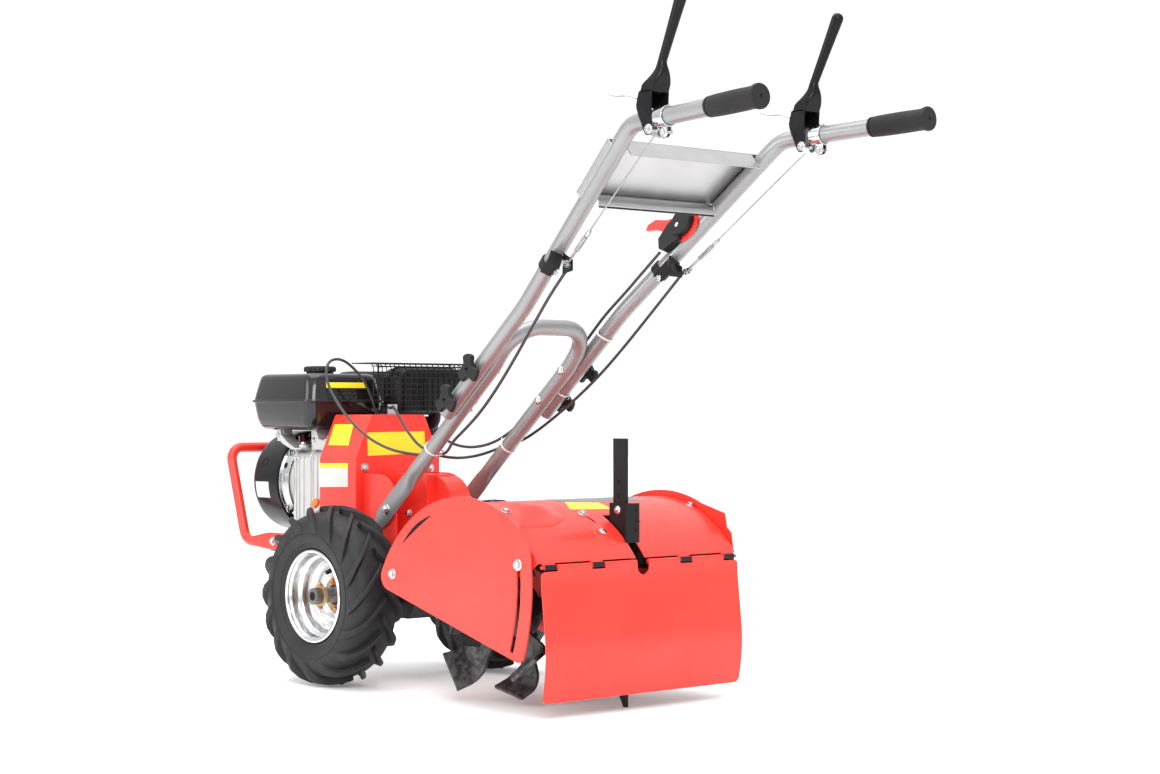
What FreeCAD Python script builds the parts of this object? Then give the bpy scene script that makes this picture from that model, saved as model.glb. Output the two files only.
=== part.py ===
import FreeCAD, Part
import math
import os
import re
import Sketcher
from FreeCAD import Placement, Rotation, Vector

# A walk-behind garden tiller with powered wheels in front and tines at the rear.
# Frame: +Z up, the machine drives towards -Y, its left side is +X, the floor is Z = 0.
# Sizes are in millimetres, with Y counted from the wheel axle. Each finished piece is then
# moved along Y by the same SHIFT, so that the machine stands centred on the origin.
SIZES = {
    # wheels and axle
    "tyre_radius": 170,
    "tyre_width": 114,
    "tread_half": 34,
    "wheel_offset": 197,
    "rim_radius": 88,
    "rim_width": 84,
    "rim_wall": 3,
    "bead_depth": 14,
    "bead_rise": 2,
    "tyre_round": 8,
    "wall_foot": 10,
    "wall_low": 30,
    "wall_high": 26,
    "disc_depth": 50,
    "hub_radius": 22,
    "hub_flange": 40,
    "hub_flange_wall": 6,
    "hub_inner": 42,
    "hub_outer": 40,
    "axle_radius": 12.5,
    "axle_overhang": 4,
    "running_gap": 0.05,
    "seat_gap": 0.3,
    "clear_gap": 5,
    "over": 1,
    # gear case, drive case and belt cover
    "case_half": 45,
    "case_wall": 8,
    "case_shoulder": 22,
    "room_half": 25,
    "case_top": 396,
    "case_rear": 98,
    "case_bottom": 118,
    "case_toe": -120,
    "toe_depth": 55,
    "belly_half": 64,
    "belly_z": 150,
    "sump_half": 40,
    "rear_foot_z": 240,
    "rear_skin": 12,
    "room_run": 16,
    "room_rise": 44,
    "axle_tube_radius": 27,
    "axle_tube_half": 118,
    "drive_half": 24,
    "drive_skin": 5,
    "drive_wall": 46,
    "drive_step": 2,
    "drive_foot_z": 250,
    "throat_gap": 10,
    "throat_rise": 50,
    "heel": 20,
    "room_heel": 32,
    "room_inset": 4,
    "hump_y": 143,
    "hump_z": 356,
    "hump_run": 120,
    "hump_fall": 63,
    "hump_round": 60,
    "room_crest": 35,
    "cover_wall": 4,
    "cover_half": 103,
    "cover_peak_half": 65,
    "shoulder_rise": 156,
    "cover_height": 242,
    "cover_depth": 119,
    "cover_rear": -50,
    "cover_round": 7,
    # engine base and engine
    "base_half": 102.7,
    "base_front": -340,
    "base_top": 268,
    "base_drop": 34,
    "base_wall": 5,
    "crank_height": 106,
    "drum_round": 9,
    "nose_taper": 14,
    "drum_radius": 103,
    "drum_nose_radius": 86,
    "drum_front": -408,
    "drum_nose": 4,
    "drum_depth": 91,
    "drum_wall": 3,
    "shroud_radius": 97,
    "shroud_depth": 34,
    "block_half": 86,
    "block_rise": 172,
    "block_round": 14,
    "tank_left": 120,
    "tank_right": -75,
    "tank_front": -399,
    "tank_rear": -179,
    "tank_stand": 38,
    "seam_rise": 59,
    "tank_depth": 114,
    "tank_wall": 2,
    "tank_taper": 14,
    "tank_lip": 3,
    "cap_x": 25,
    "cap_y": -278,
    "cap_radius": 33,
    "cap_height": 16,
    "rear_bracket_x": 30,
    "rear_bracket_y": -238,
    "rear_bracket_length": 42,
    "rear_bracket_width": 44,
    "front_bracket_x": 58,
    "front_bracket_width": 34,
    "bracket_ear": 44,
    "bracket_ear_rise": 26,
    "head_half": 50,
    "head_reach": 215,
    "head_angle": 25,
    "head_inset": 8,
    "can_wall": 4,
    "can_round": 12,
    "muffler_left": -52,
    "muffler_right": -222,
    "muffler_front": -174,
    "muffler_rear": -112,
    "muffler_rise": 72,
    "muffler_height": 92,
    "pipe_inset": 30,
    "pipe_width": 50,
    "pipe_drop": 50,
    "pipe_height": 60,
    "pipe_overlap": 8,
    "guard_gap": 9,
    "guard_inset": 2,
    "guard_foot_y": 20,
    "guard_foot_width": 12,
    "wire": 3,
    "filter_wall": 5,
    "filter_left": -90,
    "filter_right": -226,
    "filter_front": -392,
    "filter_depth": 100,
    "filter_drop": 6,
    "filter_height": 128,
    "filter_round": 14,
    "carburettor_right": -200,
    "carburettor_length": 70,
    "carburettor_reach": 42,
    "carburettor_width": 50,
    "carburettor_drop": 22,
    # front bumper
    "bumper_half": 113,
    "bumper_nose": -473,
    "bumper_foot": -413,
    "bumper_top": 441,
    "bumper_drop": 16,
    "bumper_radius": 10,
    "bumper_bend": 30,
    "bumper_leg_end": -300,
    "bumper_leg_rise": 3,
    "flat_wall": 7,
    "flat_front": -395,
    "flat_full": -335,
    "flat_rear": -238,
    "flat_low": 15,
    "flat_high": 19,
    # handlebars
    "plate_wall": 4,
    "plate_rear": 54,
    "plate_round": 56,
    "tube_radius": 14.5,
    "leg_half": 91,
    "foot_y": 40,
    "foot_z": 333,
    "foot_wall": 9,
    "foot_width": 40,
    "foot_run": 44,
    "foot_past": 12,
    "foot_shift": 4,
    "knee_bend": 100,
    "arch_low_y": 352,
    "arch_y": 410,
    "arch_z": 669,
    "arch_bend": 62,
    "knob_low_y": 279,
    "knob_high_y": 343,
    "knob_high_z": 593,
    "knob_radius": 15,
    "knob_reach": 28,
    "knob_depth": 15,
    "lobe_step": 2,
    "lobe_root": 8,
    "lobe_tip": 10,
    "upper_start": 250,
    "upper_bend_y": 470,
    "upper_bend": 300,
    "bend_half": 179,
    "bend_y": 805,
    "bend_z": 988,
    "bar_half": 202,
    "bar_end": 1112,
    "bar_rise": 1000,
    "bar_bend": 58,
    "grip_length": 128,
    "grip_radius": 18,
    "grip_lip": 20.5,
    "lip_width": 5,
    "lip_end": 8,
    "grip_end_wall": 4,
    "throttle_y": 626,
    "throttle_turn": -20,
    "throttle_radius": 33,
    "throttle_wall": 6,
    "throttle_set": 17,
    "throttle_step": 7,
    "throttle_cap_depth": 11,
    "throttle_cover_depth": 9,
    "throttle_neck_depth": 12,
    "strap_y": 552,
    "strap_run": 41,
    "strap_wall": 3,
    "strap_reach": 52,
    "band_half": 8,
    "strip_back": 10,
    "strip_width": 20,
    "strap_ear": 24,
    "stop_right": -36,
    "stop_width": 24,
    "stop_front": -132,
    "stop_rear": -100,
    "stop_height": 20,
    "stop_wall": 2,
    "cable_radius": 2.75,
    "tray_low": 672,
    "tray_high": 767,
    "tray_wall": 2,
    "tray_flange": 32,
    "tray_clear": 3,
    "tray_side_low": 2,
    "clamp_y": 888,
    "clamp_width": 22,
    "clamp_wall": 4,
    "lug_reach": 22,
    "lug_wall": 10,
    "arm_run": 22,
    "arm_reach": 15,
    "arm_wall": 6,
    "lever_back": 46,
    "lever_gap": 3,
    "lever_wall": 2.5,
    "stem_radius": 9,
    "stem_root_y": 33,
    "stem_root_z": 77,
    "stem_tip_y": 88,
    "stem_tip_z": 198,
    "stem_lean": 4,
    # hood, side shields, flap and stake
    "hood_y": 445,
    "hood_z": 116,
    "hood_radius": 243,
    "hood_wall": 2.5,
    "hood_half": 236,
    "gate_depth": 84.5,
    "gate_height": 140,
    "end_toe": 8,
    "end_toe_drop": 12,
    "end_heel": 10,
    "end_drop": 18,
    "end_past": 6,
    "end_rise": 14,
    "way_front": 550,
    "way_rise": 60,
    "way_depth": 140,
    "way_height": 300,
    "hood_front_angle": 152,
    "flap_angle": 37.4,
    "shield_gap": 5,
    "shield_wall": 2.5,
    "shield_radius": 254,
    "pivot_y": 250,
    "pivot_z": 226,
    "pivot_radius": 5,
    "slot_radius": 347,
    "slot_low": -18.6,
    "slot_high": 5.6,
    "shield_reach": 380,
    "shield_low_y": 238,
    "shield_low_z": 196,
    "shield_slope": -15.9,
    "shield_corner": 24,
    "shield_tip": 18,
    "flap_bend": 162,
    "flap_tail": 67,
    "flap_fold": 17.5,
    "flap_lean": 6.4,
    "flap_wall": 2.5,
    "flap_side_gap": 6,
    "hinge_radius": 4.5,
    "pin_radius": 2.5,
    "pin_gap": 3,
    "link_height": 11,
    "tab_drop": 14,
    "tab_height": 12,
    "sheet_drop": 7,
    "notch_drop": 8,
    "rotor_y": 432,
    "rotor_z": 164,
    "rotor_radius": 160,
    "shaft_radius": 15,
    "sleeve_radius": 21,
    "flange_radius": 48,
    "shaft_past": 24,
    "tine_wall": 6,
    "tine_level": 139,
    "tine_foot": 27,
    "foot_bend": 30,
    "foot_turn": 68,
    "foot_lead": 4,
    "outer_tines": 140,
    "inner_tines": 93,
    "stake_y": 588,
    "stake_depth": 30,
    "stake_wall": 8,
    "stake_top": 470,
    "stake_hole": 4.3,
    "hole_drop": 77.5,
    "hole_pitch": 24,
    "hole_count": 7,
    "stake_point": 45,
    "point_wide": 4,
    "bracket_wall": 4,
    "bracket_top": 357,
    "bracket_low": 266,
    "bracket_rear": 617,
    "bracket_past": 5,
    "bracket_tab": 6,
    "slot_half": 11,
    "knuckle_half": 14,
    "notch_radius": 14,
}
SHIFT = "(bumper_radius - bumper_nose - bar_end - grip_end_wall) / 2"
LEG_SLOPE = "((knob_high_z - foot_z) / (knob_high_y - foot_y))"
BLOCK_TOP = "(base_top + block_rise)"
COVER_SHOULDER = "(base_top + shoulder_rise)"
COVER_TOP = "(base_top + cover_height)"
TANK_BOTTOM = f"({BLOCK_TOP} + tank_stand)"
TANK_SEAM = f"({TANK_BOTTOM} + seam_rise)"
TANK_TOP = f"({TANK_BOTTOM} + tank_depth)"
MUFFLER_BOTTOM = f"({BLOCK_TOP} + muffler_rise)"
MUFFLER_TOP = f"({MUFFLER_BOTTOM} + muffler_height)"
FILTER_BOTTOM = f"({TANK_BOTTOM} - filter_drop)"
FILTER_TOP = f"({FILTER_BOTTOM} + filter_height)"
BUMPER_LOW = "(base_top - bumper_drop)"
FAR = 2000

doc = FreeCAD.newDocument("garden_tiller")
sheet = doc.addObject("Spreadsheet::Sheet", "Sizes")
for row, (alias, number) in enumerate(SIZES.items(), start=1):
    sheet.set(f"A{row}", alias)
    sheet.set(f"B{row}", str(number))
    sheet.setAlias(f"B{row}", alias)
doc.recompute()
finished = []


# ---------------------------------------------------------------- tools for making the pieces
def cells(formula):
    """The formula with every size's name turned into its cell in the sheet."""
    return re.sub(r"[a-z_]+", lambda word: "Sizes." + word[0] if word[0] in SIZES else word[0], str(formula))


def value(formula):
    """The number that a formula of sizes gives."""
    return float(sheet.evalExpression(cells(formula)))


def point(x, y, z):
    return Vector(value(x), value(y), value(z))


def bind(item, **formulas):
    """Bind properties such as Length, or x, y and z of the placement, to formulas of sizes."""
    for name, formula in formulas.items():
        path = "Placement.Base." + name if name in ("x", "y", "z") else name
        item.setExpression(path, cells(formula))
    return item


def finish(item, label):
    """Name a finished sub-part and bind its shift along Y."""
    item.Label = label
    formulas = {path.lstrip("."): formula for path, formula in item.ExpressionEngine}
    own = formulas.get("Placement.Base.y", "0")
    item.setExpression("Placement.Base.y", f"({own}) + {cells(SHIFT)}")
    finished.append(item)
    return item


def box(name, x, y, z, length, width, height):
    item = doc.addObject("Part::Box", name)
    return bind(item, x=x, y=y, z=z, Length=length, Width=width, Height=height)


AXES = {"X": Rotation(Vector(0, 1, 0), Vector(0, 0, 1), Vector(1, 0, 0), "ZXY"),
        "Y": Rotation(Vector(0, 0, 1), Vector(1, 0, 0), Vector(0, 1, 0), "ZXY"),
        "Z": Rotation()}


def rod(name, axis, x, y, z, radius, length, start=None, sweep=None):
    """A cylinder from a point along +axis, or the part of it from the start angle on."""
    item = doc.addObject("Part::Cylinder", name)
    turn = Rotation() if start is None else Rotation(Vector(0, 0, 1), value(start))
    item.Placement = Placement(Vector(), AXES[axis] * turn)
    bind(item, x=x, y=y, z=z, Radius=radius, Height=length)
    if sweep is not None:
        bind(item, Angle=sweep)
    return item


def cut(name, base, tool):
    item = doc.addObject("Part::Cut", name)
    item.Base = base
    item.Tool = tool
    return item


def common(name, base, tool):
    item = doc.addObject("Part::Common", name)
    item.Base = base
    item.Tool = tool
    return item


def fuse(name, *items):
    item = doc.addObject("Part::MultiFuse", name)
    item.Shapes = list(items)
    return item


def new_body(name):
    return doc.addObject("PartDesign::Body", name)


def origin_part(body, role):
    """One of the body's own planes or axes."""
    return next(part for part in body.Origin.OriginFeatures if part.Role == role)


def sketch(body, plane, name, lift="0"):
    """A sketch on one of the body's own planes, lifted along the plane's normal."""
    item = body.newObject("Sketcher::SketchObject", name)
    item.AttachmentSupport = [(origin_part(body, plane + "_Plane"), "")]
    item.MapMode = "FlatFace"
    item.setExpression("AttachmentOffset.Base.z", cells(lift))
    return item


def fix_point(item, edge, end, across, up):
    """Bind a sketch point's place to two formulas."""
    for kind, formula in (("DistanceX", across), ("DistanceY", up)):
        index = item.addConstraint(Sketcher.Constraint(kind, -1, 1, edge, end, value(formula)))
        item.setExpression(f"Constraints[{index}]", cells(formula))


def outline(body, plane, name, corners, lift="0"):
    """A closed outline: each corner is (across, up) or (across, up, radius).

    A radius makes the edge that starts there an arc, counter-clockwise when it is positive.
    """
    item = sketch(body, plane, name, lift)
    places = [Vector(value(corner[0]), value(corner[1]), 0) for corner in corners]
    ends = []
    for index, corner in enumerate(corners):
        start = places[index]
        stop = places[(index + 1) % len(places)]
        if len(corner) == 2:
            item.addGeometry(Part.LineSegment(start, stop), False)
            ends.append((1, 2))
            continue
        radius = value(corner[2])
        chord = stop - start
        rise = math.sqrt(radius ** 2 - chord.Length ** 2 / 4)
        side = Vector(-chord.y, chord.x, 0).normalize() * rise * (1 if radius > 0 else -1)
        centre = (start + stop) / 2 + side
        first, last = (start, stop) if radius > 0 else (stop, start)
        angles = [math.atan2(place.y - centre.y, place.x - centre.x) for place in (first, last)]
        circle = Part.Circle(centre, Vector(0, 0, 1), abs(radius))
        item.addGeometry(Part.ArcOfCircle(circle, angles[0], angles[1]), False)
        ends.append((1, 2) if radius > 0 else (2, 1))
    count = len(corners)
    for index in range(count):
        following = (index + 1) % count
        item.addConstraint(
            Sketcher.Constraint("Coincident", index, ends[index][1], following, ends[following][0]))
    for index, corner in enumerate(corners):
        fix_point(item, index, ends[index][0], corner[0], corner[1])
        if len(corner) == 3:
            size = item.addConstraint(Sketcher.Constraint("Radius", index, abs(value(corner[2]))))
            item.setExpression(f"Constraints[{size}]", cells(f"abs({corner[2]})"))
    return item


def rings(body, plane, name, circles, lift="0"):
    """A sketch of full circles, each (across, up, radius)."""
    item = sketch(body, plane, name, lift)
    for index, (across, up, radius) in enumerate(circles):
        centre = Vector(value(across), value(up), 0)
        item.addGeometry(Part.Circle(centre, Vector(0, 0, 1), value(radius)), False)
        fix_point(item, index, 3, across, up)
        size = item.addConstraint(Sketcher.Constraint("Radius", index, value(radius)))
        item.setExpression(f"Constraints[{size}]", cells(radius))
    return item


def pad(body, profile, length, middle=False, name="Pad"):
    item = body.newObject("PartDesign::Pad", name)
    item.Profile = profile
    item.Midplane = middle
    bind(item, Length=length)
    profile.Visibility = False
    return item


def pocket(body, profile, length="", middle=True, name="Pocket"):
    """Cut the profile through; the amount removed is checked at the end."""
    item = body.newObject("PartDesign::Pocket", name)
    item.Profile = profile
    item.Midplane = middle
    bind(item, Length=length or FAR)
    return item


def turned(body, profile, axis="H_Axis", name="Revolution"):
    item = body.newObject("PartDesign::Revolution", name)
    item.Profile = profile
    item.ReferenceAxis = (profile, [axis])
    item.Angle = 360
    return item


def soften(body, feature, radius, wanted, name="Fillet"):
    """Round the straight edges of the body's last feature that the test picks."""
    doc.recompute()
    picked = []
    for index, edge in enumerate(feature.Shape.Edges, start=1):
        first, last = edge.Vertexes[0].Point, edge.Vertexes[-1].Point
        if len(edge.Vertexes) == 2 and wanted(first, last):
            picked.append(f"Edge{index}")
    item = body.newObject("PartDesign::Fillet", name)
    item.Base = (feature, picked)
    bind(item, Radius=radius)
    return item


def along(axis):
    """A test for edges that run along one axis of the body."""
    number = "XYZ".index(axis)

    def test(first, last):
        change = last - first
        return abs(change[number]) > 0.999 * change.Length and change.Length > 1
    return test


def corner_path(places, radii):
    """The edges of a line that turns each inner corner in an arc tangent to its two runs."""
    edges = []
    start = places[0]
    for before, corner, after, radius in zip(places, places[1:], places[2:], radii):
        back = (before - corner).normalize()
        ahead = (after - corner).normalize()
        half = back.getAngle(ahead) / 2
        reach = radius / math.tan(half)
        first = corner + back * reach
        last = corner + ahead * reach
        centre = corner + (back + ahead).normalize() * (radius / math.sin(half))
        middle = centre + (corner - centre).normalize() * radius
        edges.append(Part.LineSegment(start, first).toShape())
        edges.append(Part.Arc(first, middle, last).toShape())
        start = last
    edges.append(Part.LineSegment(start, places[-1]).toShape())
    return edges


def tube(name, places, radii, radius):
    """A round bar swept along a path of straight runs and tangent arcs."""
    spine = doc.addObject("Part::Feature", name + "_line")
    spine.Shape = Part.Wire(corner_path(places, radii))
    ring = doc.addObject("Part::Circle", name + "_ring")
    bind(ring, Radius=radius)
    ring.Placement = Placement(places[0], Rotation(Vector(0, 0, 1), places[1] - places[0]))
    item = doc.addObject("Part::Sweep", name)
    item.Sections = [ring]
    item.Spine = (spine, [f"Edge{number}" for number in range(1, 2 * len(radii) + 2)])
    item.Solid = True
    item.Frenet = False
    return item


SIDES = (("left", 1), ("right", -1))


# ---------------------------------------------------------------- wheels and axle
def wheel_place(item, sign):
    """Set a wheel piece on the axle, with its local +X pointing outwards."""
    item.Placement = Placement(Vector(), Rotation(Vector(0, 0, 1), 0 if sign > 0 else 180))
    return bind(item, x=f"{sign} * wheel_offset", z="tyre_radius")


def make_tyre(side, sign):
    body = new_body(side + "_tyre")
    seat = "rim_radius - bead_depth + seat_gap"
    bead = "rim_width / 2 - rim_wall - seat_gap"
    outer = "tyre_width / 2"
    half = [(bead, seat), (bead, "rim_radius + bead_rise"),
            (f"{outer} - tyre_round", "rim_radius + wall_foot"), (outer, "rim_radius + wall_low"),
            (outer, "tyre_radius - wall_high"),
            (f"{outer} - tyre_round", "tyre_radius - tyre_round"), ("tread_half", "tyre_radius")]
    corners = half + [(f"-({across})", up) for across, up in reversed(half)]
    turned(body, outline(body, "XY", side + "_tyre_section", corners))
    finish(wheel_place(body, sign), side + "_tyre")


def make_rim(side, sign):
    body = new_body(side + "_rim")
    edge = "rim_width / 2"
    lip = "(rim_width / 2 - rim_wall)"
    barrel = "rim_radius - bead_depth"
    inner = "rim_radius - bead_depth - rim_wall"
    disc = "(rim_width / 2 - disc_depth)"
    far = disc + " + rim_wall"
    corners = [("-" + edge, "rim_radius"), ("-" + edge, inner), (disc, inner),
               (disc, "hub_radius + seat_gap"), (far, "hub_radius + seat_gap"), (far, inner), (edge, inner),
               (edge, "rim_radius"), (lip, "rim_radius"), (lip, barrel), ("-" + lip, barrel),
               ("-" + lip, "rim_radius")]
    turned(body, outline(body, "XY", side + "_rim_section", corners))
    finish(wheel_place(body, sign), side + "_rim")


def make_hub(side, sign):
    body = new_body(side + "_hub")
    bore = "axle_radius + running_gap"
    face = "rim_width / 2 - disc_depth - seat_gap"
    corners = [("-hub_inner", bore), ("hub_outer", bore), ("hub_outer", "hub_radius"),
               (face, "hub_radius"), (face, "hub_flange"), (face + " - hub_flange_wall", "hub_flange"),
               (face + " - hub_flange_wall", "hub_radius"), ("-hub_inner", "hub_radius")]
    turned(body, outline(body, "XY", side + "_hub_section", corners))
    finish(wheel_place(body, sign), side + "_hub")


for side, sign in SIDES:
    make_tyre(side, sign)
    make_rim(side, sign)
    make_hub(side, sign)

axle_half = "(wheel_offset + hub_outer + axle_overhang)"
finish(rod("axle", "X", f"-{axle_half}", "0", "tyre_radius", "axle_radius", f"2 * {axle_half}"), "axle")


# ---------------------------------------------------------------- gear case and drive case
def make_gear_case():
    body = new_body("gear_case")
    front = "cover_rear + seat_gap"
    ledge = "base_top - base_wall - seat_gap"
    corners = [(front, "case_top"), (front, ledge), ("case_toe", ledge), ("case_toe", "base_top - toe_depth"),
               ("-belly_half", "belly_z"), ("-sump_half", "case_bottom"), ("sump_half", "case_bottom"),
               ("belly_half", "belly_z"), ("case_rear", "rear_foot_z"), ("case_rear", "case_top")]
    pad(body, outline(body, "YZ", "case_outline", corners), "2 * case_half", middle=True)
    pad(body, rings(body, "YZ", "axle_tube_ring", [("0", "tyre_radius", "axle_tube_radius")]),
        "2 * axle_tube_half", middle=True)
    pocket(body, rings(body, "YZ", "axle_bore", [("0", "tyre_radius", "axle_radius + running_gap")]))
    low = "tyre_radius + axle_tube_radius + case_wall"
    high = "case_top - case_wall"
    rear = "case_rear - rear_skin"
    room = [(f"{front} + case_wall", low), (f"{rear} - room_run", low), (rear, f"{low} + room_rise"),
            (rear, high), (f"{front} + case_wall", high)]
    pocket(body, outline(body, "YZ", "case_room", room), "2 * room_half", name="Room")
    shoulder = [("-case_half - over", "case_top - case_shoulder - over"), ("-case_half - over", "case_top + over"),
                ("case_shoulder + over - case_half", "case_top + over")]
    pocket(body, outline(body, "XZ", "case_shoulder_cut", shoulder), "4 * case_rear", name="Shoulder")
    finish(body, "gear_case")


def make_drive_case():
    """The pressed case that carries the drive back to the tine shaft inside the hood."""
    body = new_body("drive_case")
    front = "case_rear + seat_gap"
    throat = "hood_y - hood_radius - throat_gap"
    corners = [(front, "case_top - drive_step"), (front, "drive_foot_z"), (throat, "hood_z + throat_rise"),
               ("rotor_y - heel", "rotor_z - drive_wall"), ("rotor_y", "rotor_z - drive_wall", "drive_wall"),
               ("rotor_y + drive_wall", "rotor_z", "drive_wall"), ("rotor_y", "rotor_z + drive_wall"),
               ("hump_y + hump_run", "hump_z - hump_fall"), ("hump_y", "hump_z", "hump_round")]
    pad(body, outline(body, "YZ", "drive_outline", corners), "2 * drive_half", middle=True)
    pocket(body, rings(body, "YZ", "shaft_bore", [("rotor_y", "rotor_z", "shaft_radius + running_gap")]))
    room = [(f"{front} + drive_skin", "case_top - drive_step - 2 * drive_skin"),
            (f"{front} + drive_skin", "drive_foot_z + drive_skin"),
            (throat, "hood_z + throat_rise + 1.5 * drive_skin"),
            ("rotor_y - room_heel", "rotor_z - drive_wall + 2 * drive_skin"),
            ("rotor_y - room_heel", "rotor_z + drive_wall - drive_skin"),
            ("hump_y + hump_run - room_inset", "hump_z - hump_fall - drive_skin"),
            ("hump_y - room_inset", "hump_z - drive_skin"),
            ("hump_y - room_crest", "case_top - 3 * drive_skin")]
    pocket(body, outline(body, "YZ", "drive_room", room), "2 * (drive_half - drive_skin)", name="Room")
    finish(body, "drive_case")


make_gear_case()
make_drive_case()


def make_belt_cover():
    body = new_body("belt_cover")
    low = "base_top + seat_gap"
    corners = [("cover_half", low), ("cover_half", COVER_SHOULDER), ("cover_peak_half", COVER_TOP),
               ("-cover_peak_half", COVER_TOP), ("-cover_half", COVER_SHOULDER), ("-cover_half", low)]
    shell = pad(body, outline(body, "XZ", "cover_outline", corners, "-cover_rear"), "cover_depth")
    soften(body, shell, "cover_round", along("Y"))
    inner = "cover_half - cover_wall"
    peak = "cover_peak_half - cover_wall"
    corners = [(inner, f"{low} + cover_wall"), (inner, f"{COVER_SHOULDER} - cover_wall"),
               (peak, f"{COVER_TOP} - cover_wall"), (f"-({peak})", f"{COVER_TOP} - cover_wall"),
               (f"-({inner})", f"{COVER_SHOULDER} - cover_wall"), (f"-({inner})", f"{low} + cover_wall")]
    room = outline(body, "XZ", "cover_room", corners, "cover_depth - cover_rear - cover_wall")
    pocket(body, room, "cover_depth - 2 * cover_wall", middle=False, name="Room")
    finish(body, "belt_cover")


make_belt_cover()


# ---------------------------------------------------------------- engine base and engine
def make_engine_base():
    """A channel of folded plate, open underneath."""
    body = new_body("engine_base")
    low = "base_top - base_drop"
    inner = "base_half - base_wall"
    under = "base_top - base_wall"
    corners = [("base_half", low), ("base_half", "base_top"), ("-base_half", "base_top"), ("-base_half", low),
               (f"-({inner})", low), (f"-({inner})", under), (inner, under), (inner, low)]
    pad(body, outline(body, "XZ", "base_outline", corners, "-cover_rear"), "cover_rear - base_front")
    finish(body, "engine_base")


def make_engine():
    crank = "base_top + crank_height"
    shroud_front = "drum_front + drum_depth"
    block_front = "drum_front + drum_depth + shroud_depth + seat_gap"
    block_rear = "cover_rear - cover_depth - seat_gap"

    block = new_body("crankcase")
    low = "base_top + seat_gap"
    corners = [("-block_half", low), ("block_half", low), ("block_half", BLOCK_TOP),
               ("-block_half", BLOCK_TOP)]
    solid = pad(block, outline(block, "XZ", "block_outline", corners, f"-({block_rear})"),
                f"{block_rear} - ({block_front})")
    soften(block, solid, "block_round", along("Y"))
    finish(block, "crankcase")

    drum = new_body("recoil_housing")
    corners = [("0", shroud_front), ("drum_radius", shroud_front), ("drum_radius", "drum_front + drum_round"),
               ("drum_radius - drum_round", "drum_front"), ("drum_nose_radius", "drum_front"),
               ("drum_nose_radius - nose_taper", "drum_front - drum_nose"), ("0", "drum_front - drum_nose")]
    turned(drum, outline(drum, "XY", "drum_section", corners), "V_Axis")
    room = rings(drum, "XZ", "drum_room", [("0", "0", "drum_radius - 2 * drum_wall")],
                 "-(drum_front + 3 * drum_wall)")
    pocket(drum, room, "drum_depth - 4 * drum_wall", middle=False, name="Room")
    finish(bind(drum, z=crank), "recoil_housing")

    shroud = rod("shroud_disc", "Y", "0", f"{shroud_front} + seat_gap", crank, "shroud_radius",
                 "shroud_depth - seat_gap")
    finish(shroud, "cooling_shroud")

    head = new_body("cylinder_head")
    root = "-(block_half + seat_gap)"
    axis_x = "cos(head_angle)"
    axis_z = "sin(head_angle)"
    foot_high = f"{crank} + (block_half * {axis_z} + head_half) / {axis_x}"
    foot_low = f"{crank} + (block_half * {axis_z} - head_half) / {axis_x}"
    far_x = f"-head_reach * {axis_x}"
    far_z = f"{crank} + head_reach * {axis_z}"
    corners = [(root, foot_low), (root, f"min({foot_high}; {BLOCK_TOP} - block_round)"),
               (f"{far_x} + head_half * {axis_z}", f"{far_z} + head_half * {axis_x}"),
               (f"{far_x} - head_half * {axis_z}", f"{far_z} - head_half * {axis_x}")]
    pad(head, outline(head, "XZ", "head_outline", corners, f"-({block_rear} - head_inset)"),
        f"{block_rear} - 2 * head_inset - ({block_front})")
    finish(head, "cylinder_head")


def make_fuel_tank():
    body = new_body("fuel_tank")

    def level(name, height, inset):
        left = f"tank_left - {inset}"
        right = f"tank_right + {inset}"
        front = f"tank_front + 2 * ({inset})"
        rear = f"tank_rear - {inset}"
        corners = [(right, front), (left, front), (left, rear), (right, rear)]
        return outline(body, "XY", name, corners, height)

    def loft(name, first, second):
        item = body.newObject("PartDesign::AdditiveLoft", name)
        item.Profile = first
        item.Sections = [second]
        return item

    loft("upper_half", level("seam_upper", TANK_SEAM, "tank_lip"), level("top_face", TANK_TOP, "tank_taper"))
    loft("lower_half", level("seam_lower", TANK_SEAM, "tank_lip"),
         level("bottom_face", TANK_BOTTOM, "tank_taper"))
    lip = pad(body, level("seam_lip", TANK_SEAM, "0"), "tank_lip", middle=True)
    lip.Refine = True
    ceiling = level("tank_room", f"{TANK_TOP} - tank_wall", "tank_taper + tank_wall")
    pocket(body, ceiling, "tank_depth - 2 * tank_wall", middle=False, name="Room")
    finish(body, "fuel_tank")
    cap = rod("cap_disc", "Z", "cap_x", "cap_y", f"{TANK_TOP} + seat_gap", "cap_radius", "cap_height")
    finish(cap, "tank_cap")


def make_tank_brackets():
    """Cast arms that stand on the crankcase and carry the tank."""
    low = f"{BLOCK_TOP} + seat_gap"
    height = "tank_stand - 2 * seat_gap"
    rear_arm = box("rear_arm", "rear_bracket_x", "rear_bracket_y", low, "rear_bracket_length",
                   "rear_bracket_width", height)
    finish(rear_arm, "tank_bracket_rear")
    reach = "drum_front + drum_depth + shroud_depth"
    arm = box("front_arm", "front_bracket_x", f"{reach} + seat_gap", low, "front_bracket_width",
              "front_bracket_width", height)
    ear = box("front_ear", "front_bracket_x", f"{reach} - bracket_ear", f"{BLOCK_TOP} + bracket_ear_rise",
              "front_bracket_width", "bracket_ear + 2 * over", "tank_stand - bracket_ear_rise - seat_gap")
    finish(fuse("front_bracket", arm, ear), "tank_bracket_front")


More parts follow.
